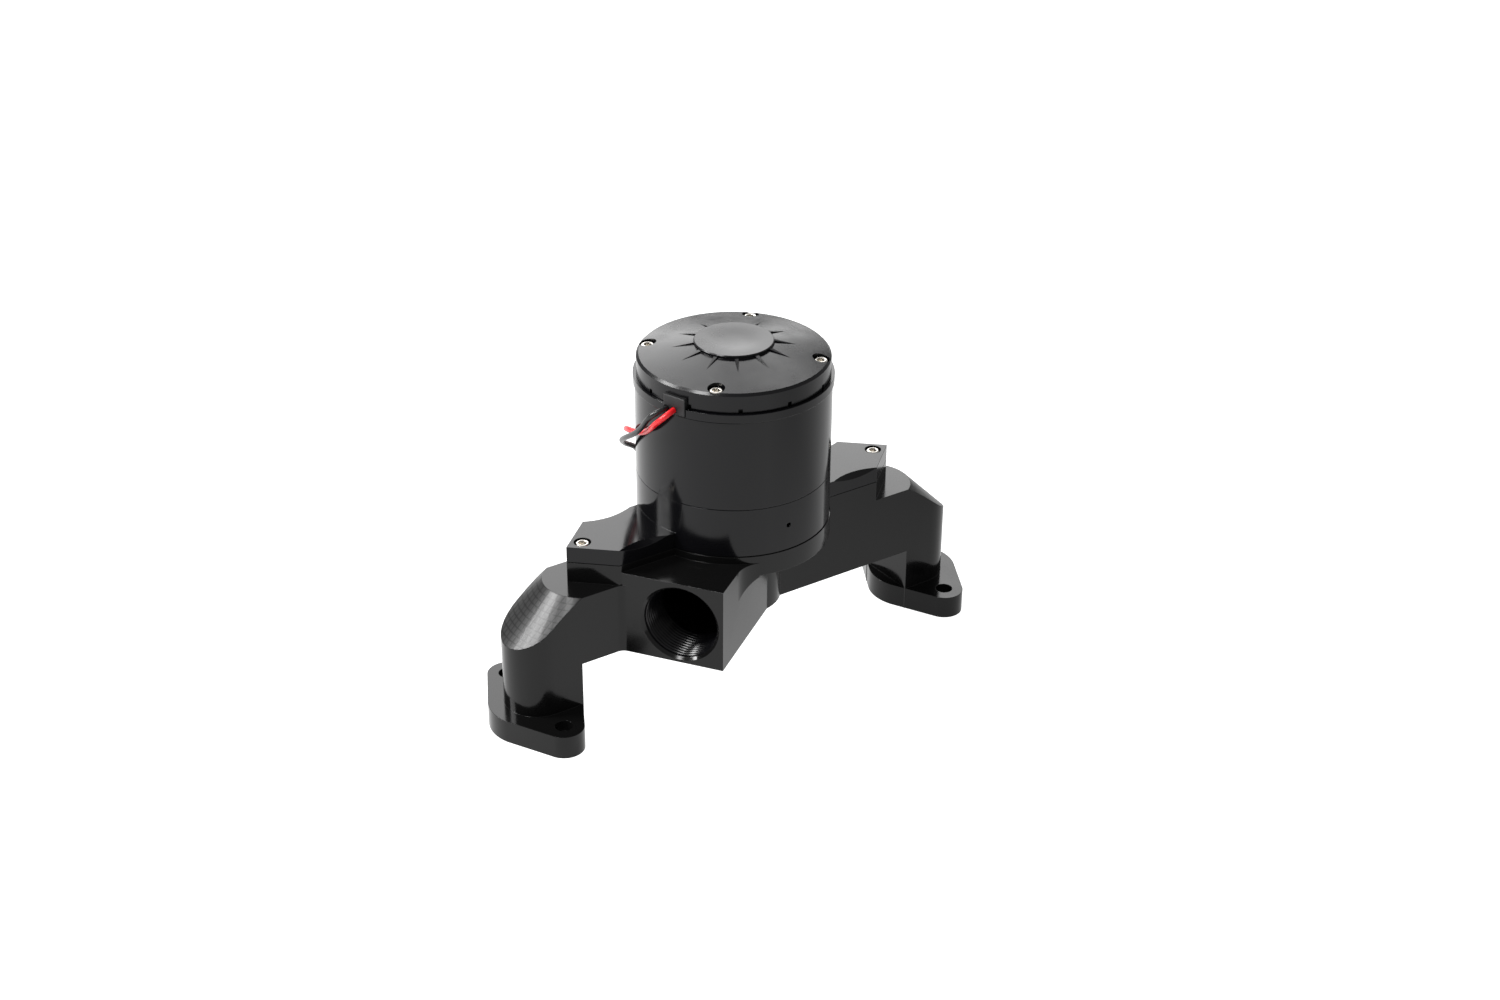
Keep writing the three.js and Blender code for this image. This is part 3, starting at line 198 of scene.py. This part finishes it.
# Butt connectors at the leads' far ends: a nylon sleeve swollen over a tinned barrel, with two crimps
# pressed into it and a bare tinned socket at the front. The whole connector is drawn in its lead's PVC.
def revolve(profile, segments, radius_at=None):
    """Points (r cos a, r sin a, z) for each profile corner (r, z) and each of the even angles a. radius_at
    may reshape the radii at each angle. Returns corners and the quads between neighbours."""
    profile = np.asarray(profile, float)
    angles = np.arange(segments) * 2 * np.pi / segments
    radii = np.repeat(profile[:, :1], segments, axis=1)
    if radius_at is not None:
        radii = radius_at(radii, angles[None, :], profile[:, 1:])
    height = np.repeat(profile[:, 1:], segments, axis=1)
    corners = np.stack((radii * np.cos(angles), radii * np.sin(angles), height), axis=-1).reshape(-1, 3)
    row, column = np.meshgrid(np.arange(len(profile) - 1), np.arange(segments), indexing="ij")
    beside = (column + 1) % segments
    quads = np.stack((
        row * segments + column, row * segments + beside,
        (row + 1) * segments + beside, (row + 1) * segments + column,
    ), axis=-1).reshape(-1, 4)
    return corners, quads


def make_piece(name, corners, faces, material, body, slot, smooth_angle=30):
    """A closed mesh from corners and faces: poles merged, normals out, edges sharp above smooth_angle."""
    mesh = bpy.data.meshes.new(name)
    mesh.from_pydata(np.asarray(corners).tolist(), [], np.asarray(faces).tolist())
    work = bmesh.new()
    work.from_mesh(mesh)
    bmesh.ops.remove_doubles(work, verts=work.verts, dist=1e-7)
    bmesh.ops.recalc_face_normals(work, faces=work.faces)
    limit = math.radians(smooth_angle)
    for edge in work.edges:
        edge.smooth = edge.calc_face_angle(0) < limit
    for face in work.faces:
        face.smooth = True
    work.to_mesh(mesh)
    work.free()
    mesh.materials.append(material)
    piece = bpy.data.objects.new(name, mesh)
    bpy.context.scene.collection.objects.link(piece)
    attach(piece, body)
    return piece


TERMINAL_PROFILE_MM = (
    (0, 0.0), (1.75, 0.0), (2.1, 0.25), (2.75, 2.4), (2.85, 3.2), (2.85, 4.6), (2.5, 5.4), (2.5, 7.0),
    (2.85, 7.8), (2.85, 11.6), (2.7, 12.3), (2.0, 13.0), (1.85, 13.4), (1.85, 18.6), (1.6, 19.2),
    (1.0, 19.6), (0, 19.6),
)


def make_terminal(name, node, line, material, slot):
    """The connector's profile turned about the lead's last direction, lying on the bench beyond its end."""
    low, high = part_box(node)
    ahead = line[-1] - line[-6]
    ahead[2] = 0
    ahead = ahead / np.linalg.norm(ahead)
    corners, quads = revolve(np.array(TERMINAL_PROFILE_MM) / 1000, 28)
    across = np.cross((0, 0, 1), ahead)
    start = np.array((line[-1][0], line[-1][1], (low.z + high.z) / 2)) + 0.0005 * ahead
    placed = start + corners[:, 2:] * ahead + corners[:, :1] * across + corners[:, 1:2] * np.array((0, 0, 1))
    piece = make_piece(name, placed, quads, material, "frame", slot)
    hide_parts(node)
    return piece


red_end = make_terminal("red_connector", "red_lead_terminal", red_line, red_pvc, "red_insulation")
black_end = make_terminal("black_connector", "black_lead_terminal", black_line, black_pvc, "black_insulation")


# Pump housing: milled from one block of aluminium and black hard anodised. The dyed oxide is a clear skin
# over black, so it shines like glass where it is seen at a slant. The arms' sloped ends keep tool marks, and
# their colour is painted lighter between the marks, a painted sheen.
WAVE_REPEAT = 0.314                  # a wave texture repeats every WAVE_REPEAT / scale units


def anodised(name, rings_about=None, pitch=0.0006, ridges=0.04, roughness=0.13, edge=0.0004):
    """Dyed and sealed oxide: black, glossy, with the cutter's fine lines round an axis or along the piece,
    cloudy patches in its shine, and edges broken by a fine radius. A cutter's real lines lie a tenth or two
    of a millimetre apart, and are drawn coarser so that they show."""
    material, tree, shader = new_material(name, "#08080a", roughness, Specular_IOR_Level=0.26)
    place = add(tree, "ShaderNodeTexCoord")
    centred = add(tree, "ShaderNodeMapping", {"Vector": place.outputs["Object"]})
    centred.inputs["Location"].default_value = (-AXIS.x, -AXIS.y, 0)
    patches = add(tree, "ShaderNodeTexNoise", {"Vector": place.outputs["Object"]}, Scale=55.0, Detail=5.0)
    shine = add(tree, "ShaderNodeMapRange", {"Value": patches.outputs["Fac"]})
    shine.inputs["From Min"].default_value = 0.35
    shine.inputs["From Max"].default_value = 0.7
    shine.inputs["To Min"].default_value = roughness * 0.8
    shine.inputs["To Max"].default_value = roughness * 1.35
    tree.links.new(shine.outputs["Result"], shader.inputs["Roughness"])
    rounded = add(tree, "ShaderNodeBevel", samples=6, Radius=edge)
    lines = add(tree, "ShaderNodeTexWave", {"Vector": centred.outputs["Vector"]}, Scale=WAVE_REPEAT / pitch,
                Distortion=0.6, Detail=2.0)
    lines.wave_type = "RINGS" if rings_about else "BANDS"
    if rings_about:
        lines.rings_direction = rings_about
    else:
        lines.bands_direction = "Z"
    bump = add(tree, "ShaderNodeBump", {"Height": lines.outputs["Fac"], "Normal": rounded.outputs["Normal"]},
               Strength=ridges, Distance=0.00005)
    tree.links.new(bump.outputs["Normal"], shader.inputs["Normal"])
    return material, tree, shader, bump


SLOPE_UP = 0.707                     # height of the normal on a face that leans at 45 degrees
SLOPE_MARGIN = 0.06
SLOPE_FROM_X = 0.1115                # the arms' sloped ends lie farther out than this
CUTTER_STEP = 0.0028
CUTTER_SWEEP = 0.0034


def add_toolmarks_and_painted_sheen(tree, shader, bump):
    """On faces that lean at 45 degrees out at the arms' ends: a grid of dark cutter lines about 3 mm apart,
    a duller skin, and a base colour painted lighter between the lines, a painted sheen. The mask is one where
    the normal's height is near SLOPE_UP and x is far out."""
    place = add(tree, "ShaderNodeTexCoord")
    surface = add(tree, "ShaderNodeNewGeometry")
    lean = add(tree, "ShaderNodeSeparateXYZ", {"Vector": surface.outputs["True Normal"]})
    off = add(tree, "ShaderNodeMath", {0: lean.outputs["Z"]}, operation="SUBTRACT")
    off.inputs[1].default_value = SLOPE_UP
    size = add(tree, "ShaderNodeMath", {0: off.outputs[0]}, operation="ABSOLUTE")
    leaning = add(tree, "ShaderNodeMath", {0: size.outputs[0]}, operation="LESS_THAN")
    leaning.inputs[1].default_value = SLOPE_MARGIN
    where = add(tree, "ShaderNodeSeparateXYZ", {"Vector": place.outputs["Object"]})
    reach = add(tree, "ShaderNodeMath", {0: where.outputs["X"]}, operation="ABSOLUTE")
    far = add(tree, "ShaderNodeMath", {0: reach.outputs[0]}, operation="GREATER_THAN")
    far.inputs[1].default_value = SLOPE_FROM_X
    mask = add(tree, "ShaderNodeMath", {0: leaning.outputs[0], 1: far.outputs[0]}, operation="MULTIPLY")
    steps = add(tree, "ShaderNodeTexWave", {"Vector": place.outputs["Object"]},
                Scale=WAVE_REPEAT / CUTTER_STEP, Distortion=0.3, Detail=1.0)
    steps.bands_direction = "Z"
    grain = add(tree, "ShaderNodeTexWave", {"Vector": place.outputs["Object"]},
                Scale=WAVE_REPEAT / CUTTER_SWEEP, Distortion=0.8, Detail=2.0)
    grain.bands_direction = "Y"
    lower = add(tree, "ShaderNodeMath", {0: steps.outputs["Fac"], 1: grain.outputs["Fac"]},
                operation="MINIMUM")
    both = add(tree, "ShaderNodeMapRange", {"Value": lower.outputs[0]})
    both.inputs["From Max"].default_value = 0.2
    # the dark cutter lines are real marks; the lighter colour between them is painted sheen for the light
    # these faces mirror
    cutter_lines_and_painted_sheen = add(tree, "ShaderNodeMapRange", {"Value": both.outputs[0]})
    cutter_lines_and_painted_sheen.inputs["To Min"].default_value = 0.002
    cutter_lines_and_painted_sheen.inputs["To Max"].default_value = 0.018
    colour = add(tree, "ShaderNodeMix", {"Factor": mask.outputs[0], "B": cutter_lines_and_painted_sheen.outputs["Result"]})
    colour.inputs["A"].default_value = linear("#0b0b0c")[0]
    tree.links.new(colour.outputs["Result"], shader.inputs["Base Color"])
    old = shader.inputs["Roughness"].links[0].from_socket
    dull = add(tree, "ShaderNodeMix", {"Factor": mask.outputs[0], "A": old})
    dull.inputs["B"].default_value = 0.3
    tree.links.new(dull.outputs["Result"], shader.inputs["Roughness"])
    depth = add(tree, "ShaderNodeMath", {0: both.outputs[0], 1: mask.outputs[0]}, operation="MULTIPLY")
    marks = add(tree, "ShaderNodeBump", {"Height": depth.outputs[0], "Normal": bump.outputs["Normal"]},
                Strength=0.05, Distance=0.0002)
    tree.links.new(marks.outputs["Normal"], shader.inputs["Normal"])


SHARP_ANGLE = math.radians(22)


def smoothing_group():
    """Geometry nodes that shade the mesh smooth and keep edges sharp where faces turn by over SHARP_ANGLE."""
    group = bpy.data.node_groups.new("keep_sharp_edges", "GeometryNodeTree")
    group.interface.new_socket("Geometry", in_out="INPUT", socket_type="NodeSocketGeometry")
    group.interface.new_socket("Geometry", in_out="OUTPUT", socket_type="NodeSocketGeometry")
    start = group.nodes.new("NodeGroupInput")
    end = group.nodes.new("NodeGroupOutput")
    merged = add(group, "GeometryNodeMergeByDistance", {"Geometry": start.outputs[0]}, Distance=2e-6)
    soft = add(group, "GeometryNodeSetShadeSmooth", {"Geometry": merged.outputs[0]}, domain="FACE")
    angle = add(group, "GeometryNodeInputMeshEdgeAngle")
    sharp = add(group, "FunctionNodeCompare", {"A": angle.outputs["Unsigned Angle"]}, data_type="FLOAT",
                operation="GREATER_THAN")
    sharp.inputs["B"].default_value = SHARP_ANGLE
    kept = add(group, "GeometryNodeSetShadeSmooth",
               {"Geometry": soft.outputs[0], "Selection": sharp.outputs[0]}, domain="EDGE")
    kept.inputs["Shade Smooth"].default_value = False
    group.links.new(kept.outputs[0], end.inputs[0])
    return group


sharp_edges = smoothing_group()


def finish_node(name, material):
    """Gives a CAD node its material and smooth shading between its sharp edges."""
    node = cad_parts[name]
    node.data.materials.clear()
    node.data.materials.append(material)
    node.modifiers.new("smooth_by_angle", "NODES").node_group = sharp_edges


housing_black, tree, shader, bump = anodised("anodised_milled_housing", pitch=0.0009, ridges=0.03)
add_toolmarks_and_painted_sheen(tree, shader, bump)
finish_node("pump_housing", housing_black)


# Inlet thread: a parallel thread cut into the port's bore, 42 mm across its crests. It is made here as a
# thin sleeve of the same black oxide, lying against the bore, with a coarse pitch of 2.4 mm.
THREAD_PITCH = 0.0024
THREAD_DEPTH = 0.0009
THREAD_TURNS = 11
INLET_ANGLE = math.radians(215.34)
INLET_HEIGHT = 0.0661
INLET_BORE = 0.022                   # radius
PORT_FACE = 0.0836
THREAD_INSET = 0.0018                # the first turn starts this far behind the port's face
LEAD_IN = 0.002
RUN_OUT = 0.003
ROOT_GAP = 0.00012                   # the thread's roots and the sleeve's back stand off the bore
BACK_GAP = 0.00005


def inlet_thread():
    """Distance from the bore's axis at angle a and depth d: bore minus the thread's depth times a triangle
    wave of d / pitch + a / turn with flattened tops. The back of the sleeve is a plain cylinder."""
    length = THREAD_PITCH * THREAD_TURNS
    depths = np.linspace(0, length, THREAD_TURNS * 12 + 1)
    angles = np.linspace(0, 2 * np.pi, 97)[:-1]
    d, a = np.meshgrid(depths, angles, indexing="ij")
    phase = (d / THREAD_PITCH + a / (2 * np.pi)) % 1
    crest = np.clip(1.25 - np.abs(phase - 0.5) * 2.2, 0, 1)
    crest = crest * np.clip(d / LEAD_IN, 0, 1) * np.clip((length - d) / RUN_OUT, 0, 1)
    inner = INLET_BORE - ROOT_GAP - THREAD_DEPTH * crest
    outer = np.full_like(inner[:1], INLET_BORE - BACK_GAP)
    radii = np.vstack((inner, outer, outer, inner[:1]))
    along = PORT_FACE - THREAD_INSET - np.vstack((d, d[-1:], d[:1], d[:1]))
    a = np.vstack((a, a[:1], a[:1], a[:1]))
    out = np.array((math.cos(INLET_ANGLE), math.sin(INLET_ANGLE), 0))
    side = np.array((-out[1], out[0], 0))
    up = np.array((0, 0, 1))
    corners = (along[..., None] * out + (radii * np.cos(a))[..., None] * side
               + (radii * np.sin(a))[..., None] * up)
    corners = corners + np.array((AXIS.x, AXIS.y, INLET_HEIGHT))
    rows, columns = radii.shape
    row, column = np.meshgrid(np.arange(rows - 1), np.arange(columns), indexing="ij")
    beside = (column + 1) % columns
    quads = np.stack((row * columns + column, row * columns + beside,
                      (row + 1) * columns + beside, (row + 1) * columns + column), axis=-1)
    return corners.reshape(-1, 3), quads.reshape(-1, 4)


thread_black, _, _, _ = anodised("anodised_thread", ridges=0.0, roughness=0.2, edge=0.0001)
make_piece("inlet_thread", *inlet_thread(), thread_black, "frame", "black_anodised")


# Volute cover, motor can and cap: turned aluminium, black anodised. The lathe's fine feed lines run round
# the motor's axis, and the cap's shallow cone shows them as rings.
turned_black, _, _, _ = anodised("anodised_turned_wall", pitch=0.0006, ridges=0.035, roughness=0.13)
faced_black, _, _, _ = anodised("anodised_faced_cap", rings_about="Z", pitch=0.0007, ridges=0.04,
                                roughness=0.22, edge=0.0002)


SCORE_BELOW_TOP = 0.0052
SCORE_WIDTH = 0.0008


def add_score_line(tree, shader, bump, height, width):
    """A shallow groove turned at one height: the bump's height rises with |z - height| up to half the width,
    so its lower wall faces up and catches the light."""
    place = add(tree, "ShaderNodeTexCoord")
    where = add(tree, "ShaderNodeSeparateXYZ", {"Vector": place.outputs["Object"]})
    off = add(tree, "ShaderNodeMath", {0: where.outputs["Z"]}, operation="SUBTRACT")
    off.inputs[1].default_value = height
    size = add(tree, "ShaderNodeMath", {0: off.outputs[0]}, operation="ABSOLUTE")
    depth = add(tree, "ShaderNodeMapRange", {"Value": size.outputs[0]})
    depth.inputs["From Max"].default_value = width / 2
    groove = add(tree, "ShaderNodeBump",
                 {"Height": depth.outputs["Result"], "Normal": bump.outputs["Normal"]},
                 Strength=1.0, Distance=width / 2)
    tree.links.new(groove.outputs["Normal"], shader.inputs["Normal"])


finish_node("volute_cover", turned_black)
can_black, tree, shader, bump = anodised("anodised_can_wall", pitch=0.0006, ridges=0.035, roughness=0.13)
add_score_line(tree, shader, bump, can_high.z - SCORE_BELOW_TOP, SCORE_WIDTH)
finish_node("motor_can", can_black)
finish_node("motor_cap", faced_black)


# Socket-head cap screws: stainless, cold headed. The head's rim is broken by a small radius and the hex
# socket is deep and dark; the fine knurl round the head is rolled on.
def screw_steel():
    """Bright stainless: a metal with a slightly satin skin whose shine varies with fine noise;
    the header die's faint rings are not drawn.
    """
    material, tree, shader = new_material("stainless_screw_steel", "#c9c5be", 0.24, 1.0)
    place = add(tree, "ShaderNodeTexCoord")
    scuffs = add(tree, "ShaderNodeTexNoise", {"Vector": place.outputs["Object"]}, Scale=900.0, Detail=3.0)
    shine = add(tree, "ShaderNodeMapRange", {"Value": scuffs.outputs["Fac"]})
    shine.inputs["To Min"].default_value = 0.16
    shine.inputs["To Max"].default_value = 0.36
    tree.links.new(shine.outputs["Result"], shader.inputs["Roughness"])
    return material


HEAD_HEIGHT = 0.0044
HEX_HALF = 0.0020
KNURL_COUNT = 36
KNURL_DEPTH = 0.00012


def cap_screw(node):
    """Head and shank turned about the screw's axis. Socket rings follow a hexagon: half width over the
    cosine of the angle to its nearest flat. Knurled rings add a small cosine wave."""
    low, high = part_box(node)
    centre = np.array(((low.x + high.x) / 2, (low.y + high.y) / 2, 0))
    head = (high.x - low.x) / 2 + 0.00004
    top, foot = high.z, low.z
    seat = top - HEAD_HEIGHT
    profile = np.array((
        (0, foot), (0.0019, foot), (0.0024, foot + 0.0005), (0.0024, seat), (head - 0.0002, seat),
        (head, seat + 0.0002), (head, top - 0.0009), (head - 0.0002, top - 0.0004),
        (head - 0.0006, top - 0.0001), (head - 0.0010, top), (0.0026, top), (0.00235, top - 0.00015),
        (0.0023, top - 0.0003), (0.0023, top - 0.0028), (0, top - 0.0034),
    ))
    socket = slice(12, 14)
    knurl = slice(5, 7)

    def shape(radii, angles, height):
        to_flat = (angles + np.pi / 6) % (np.pi / 3) - np.pi / 6
        radii = radii.copy()
        radii[socket] = HEX_HALF / np.cos(to_flat)
        radii[knurl] = radii[knurl] - KNURL_DEPTH * (0.5 - 0.5 * np.cos(KNURL_COUNT * angles))
        return radii

    corners, quads = revolve(profile, 144, shape)
    piece = make_piece(node + "_finished", corners + centre, quads, steel_skin, "frame", "stainless", 35)
    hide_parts(node)


steel_skin = screw_steel()
for screw in ("cover_screw_left", "cover_screw_right", "tie_screw_1", "tie_screw_2", "tie_screw_3",
              "tie_screw_4"):
    cap_screw(screw)


# Rubber grommet and O-ring: moulded black nitrile, matt, a little grey on the surface. The grommet sits
# where the can meets the cap, and the O-ring seals the cover to the housing.
def nitrile():
    """Moulded rubber: dull black with a fine uneven skin."""
    material, tree, shader = new_material("moulded_nitrile_rubber", "#0e0e0f", 0.5)
    place = add(tree, "ShaderNodeTexCoord")
    skin = add(tree, "ShaderNodeTexNoise", {"Vector": place.outputs["Object"]}, Scale=700.0, Detail=3.0)
    rounded = add(tree, "ShaderNodeBevel", samples=6, Radius=0.0012)
    bump = add(tree, "ShaderNodeBump", {"Height": skin.outputs["Fac"], "Normal": rounded.outputs["Normal"]},
               Strength=0.2, Distance=0.0002)
    tree.links.new(bump.outputs["Normal"], shader.inputs["Normal"])
    return material


rubber = nitrile()
finish_node("lead_grommet", rubber)
finish_node("cover_o_ring", rubber)


# Inner works, hidden by the housing, can and cap: shaft, bearings, seal, impeller, magnets, armature,
# commutator and brushes, each in its own metal, ceramic, carbon or board.
def works_material(name, hex_code, roughness, metallic, grain):
    """A plain finish with noise of the given grain size, in metres, in its shine and surface."""
    material, tree, shader = new_material(name, hex_code, roughness, metallic)
    place = add(tree, "ShaderNodeTexCoord")
    noise = add(tree, "ShaderNodeTexNoise", {"Vector": place.outputs["Object"]}, Scale=1 / grain, Detail=4.0)
    shine = add(tree, "ShaderNodeMapRange", {"Value": noise.outputs["Fac"]})
    shine.inputs["To Min"].default_value = roughness * 0.7
    shine.inputs["To Max"].default_value = min(1.0, roughness * 1.4)
    tree.links.new(shine.outputs["Result"], shader.inputs["Roughness"])
    bump = add(tree, "ShaderNodeBump", {"Height": noise.outputs["Fac"]}, Strength=0.15, Distance=0.0002)
    tree.links.new(bump.outputs["Normal"], shader.inputs["Normal"])
    return material


WORKS = {
    ("ground_bearing_steel", "#b4b6b8", 0.18, 1.0, 0.002): (
        "shaft", "lower_bearing_outer_race", "lower_bearing_inner_race", "lower_bearing_balls_and_cage",
        "upper_bearing_outer_race", "upper_bearing_inner_race", "upper_bearing_balls_and_cage",
        "brush_spring_1", "brush_spring_2", "impeller_nut"),
    ("zinc_plated_steel", "#8f959c", 0.35, 1.0, 0.003): (
        "flux_ring", "bearing_circlip", "bearing_wave_washer", "brush_holder_1", "brush_holder_2"),
    ("cast_aluminium", "#9a9c9f", 0.45, 1.0, 0.001): ("impeller",),
    ("sintered_ferrite", "#2e2c2b", 0.75, 0.0, 0.0008): ("magnet_1", "magnet_2", "magnet_3", "magnet_4"),
    ("laminated_electrical_steel", "#5f6266", 0.45, 1.0, 0.0006): ("armature_core",),
    ("enamelled_copper_wire", "#8a4a22", 0.35, 0.8, 0.0011): ("armature_winding",),
    ("turned_copper", "#c07a50", 0.28, 1.0, 0.002): ("commutator",),
    ("phenolic_board", "#5a3a22", 0.6, 0.0, 0.0015): ("brush_plate",),
    ("pressed_carbon", "#1d1d1e", 0.55, 0.0, 0.0007): ("brush_1", "brush_2", "seal_rotating_head"),
    ("alumina_ceramic", "#d8d4ca", 0.25, 0.0, 0.003): ("seal_stationary_seat",),
}
for look, names in WORKS.items():
    skin = works_material(*look)
    for name in names:
        finish_node(name, skin)


# Studio: a white bench that runs out of view and glows though it is no lamp, even white surroundings, a large
# soft light behind the pump and two small ones at its left. The black oxide shows little but what it mirrors
# of them; where it mirrors the bench, the glow is painted dimmer towards the right, a painted shade.
BENCH_HALF = 6.0
BENCH_SEEN = 1.2                     # glow of the bench where it is seen directly
BENCH_MIRRORED = (0.92, 0.5)         # and as the pump mirrors it, at the two ends of BENCH_FALL
BENCH_FALL = (0.02, 0.24)            # x over which that falls off
WORLD_STRENGTH = 0.4
LIGHTS_AIM = (0, 0, 0.1)


def studio():
    """Bench, surroundings and soft lights."""
    bench = bpy.data.meshes.new("bench")
    bench.from_pydata([(-BENCH_HALF, -BENCH_HALF, 0), (BENCH_HALF, -BENCH_HALF, 0),
                       (BENCH_HALF, BENCH_HALF, 0), (-BENCH_HALF, BENCH_HALF, 0)], [], [(0, 1, 2, 3)])
    white, tree, shader = new_material("white_glowing_bench", "#8c8c8c", 0.9, Specular_IOR_Level=0.1,
                                       Emission_Color=(1, 1, 1, 1))
    # seen directly the bench glows pure white, as under a lit backdrop; mirrored in the pump its glow is
    # painted dimmer and falls off towards the right, a painted shade as if a dark flag stood there
    place = add(tree, "ShaderNodeTexCoord")
    where = add(tree, "ShaderNodeSeparateXYZ", {"Vector": place.outputs["Object"]})
    mirrored = add(tree, "ShaderNodeMapRange", {"Value": where.outputs["X"]})
    mirrored.inputs["From Min"].default_value = BENCH_FALL[0]
    mirrored.inputs["From Max"].default_value = BENCH_FALL[1]
    mirrored.inputs["To Min"].default_value = BENCH_MIRRORED[0]
    mirrored.inputs["To Max"].default_value = BENCH_MIRRORED[1]
    path = add(tree, "ShaderNodeLightPath")
    glow = add(tree, "ShaderNodeMix",
               {"Factor": path.outputs["Is Camera Ray"], "A": mirrored.outputs["Result"]})
    glow.inputs["B"].default_value = BENCH_SEEN
    tree.links.new(glow.outputs["Result"], shader.inputs["Emission Strength"])
    paper = add(tree, "ShaderNodeTexNoise", {"Vector": place.outputs["Object"]}, Scale=30.0)
    bump = add(tree, "ShaderNodeBump", {"Height": paper.outputs["Fac"]}, Strength=0.02, Distance=0.001)
    tree.links.new(bump.outputs["Normal"], shader.inputs["Normal"])
    bench.materials.append(white)
    floor = bpy.data.objects.new("bench", bench)
    bpy.context.scene.collection.objects.link(floor)
    world = bpy.data.worlds.new("studio")
    world.use_nodes = True
    world.node_tree.nodes["Background"].inputs["Color"].default_value = (1, 1, 1, 1)
    world.node_tree.nodes["Background"].inputs["Strength"].default_value = WORLD_STRENGTH
    bpy.context.scene.world = world
    for name, spot, size, power in (
        ("back_softbox", (0.72, 1.75, 1.3), 1.7, 34.0),
        ("back_left_softbox", (-1.3, 0.86, 1.25), 0.62, 44.0),
        ("left_softbox", (-1.2, -0.1, 1.8), 0.5, 22.0),
    ):
        light = bpy.data.lights.new(name, "AREA")
        light.shape = "SQUARE"
        light.size = size
        light.energy = power
        lamp = bpy.data.objects.new(name, light)
        lamp.location = spot
        lamp.rotation_euler = (Vector(LIGHTS_AIM) - Vector(spot)).to_track_quat("-Z", "Y").to_euler()
        bpy.context.scene.collection.objects.link(lamp)
    bpy.context.scene.view_settings.view_transform = "Standard"


studio()
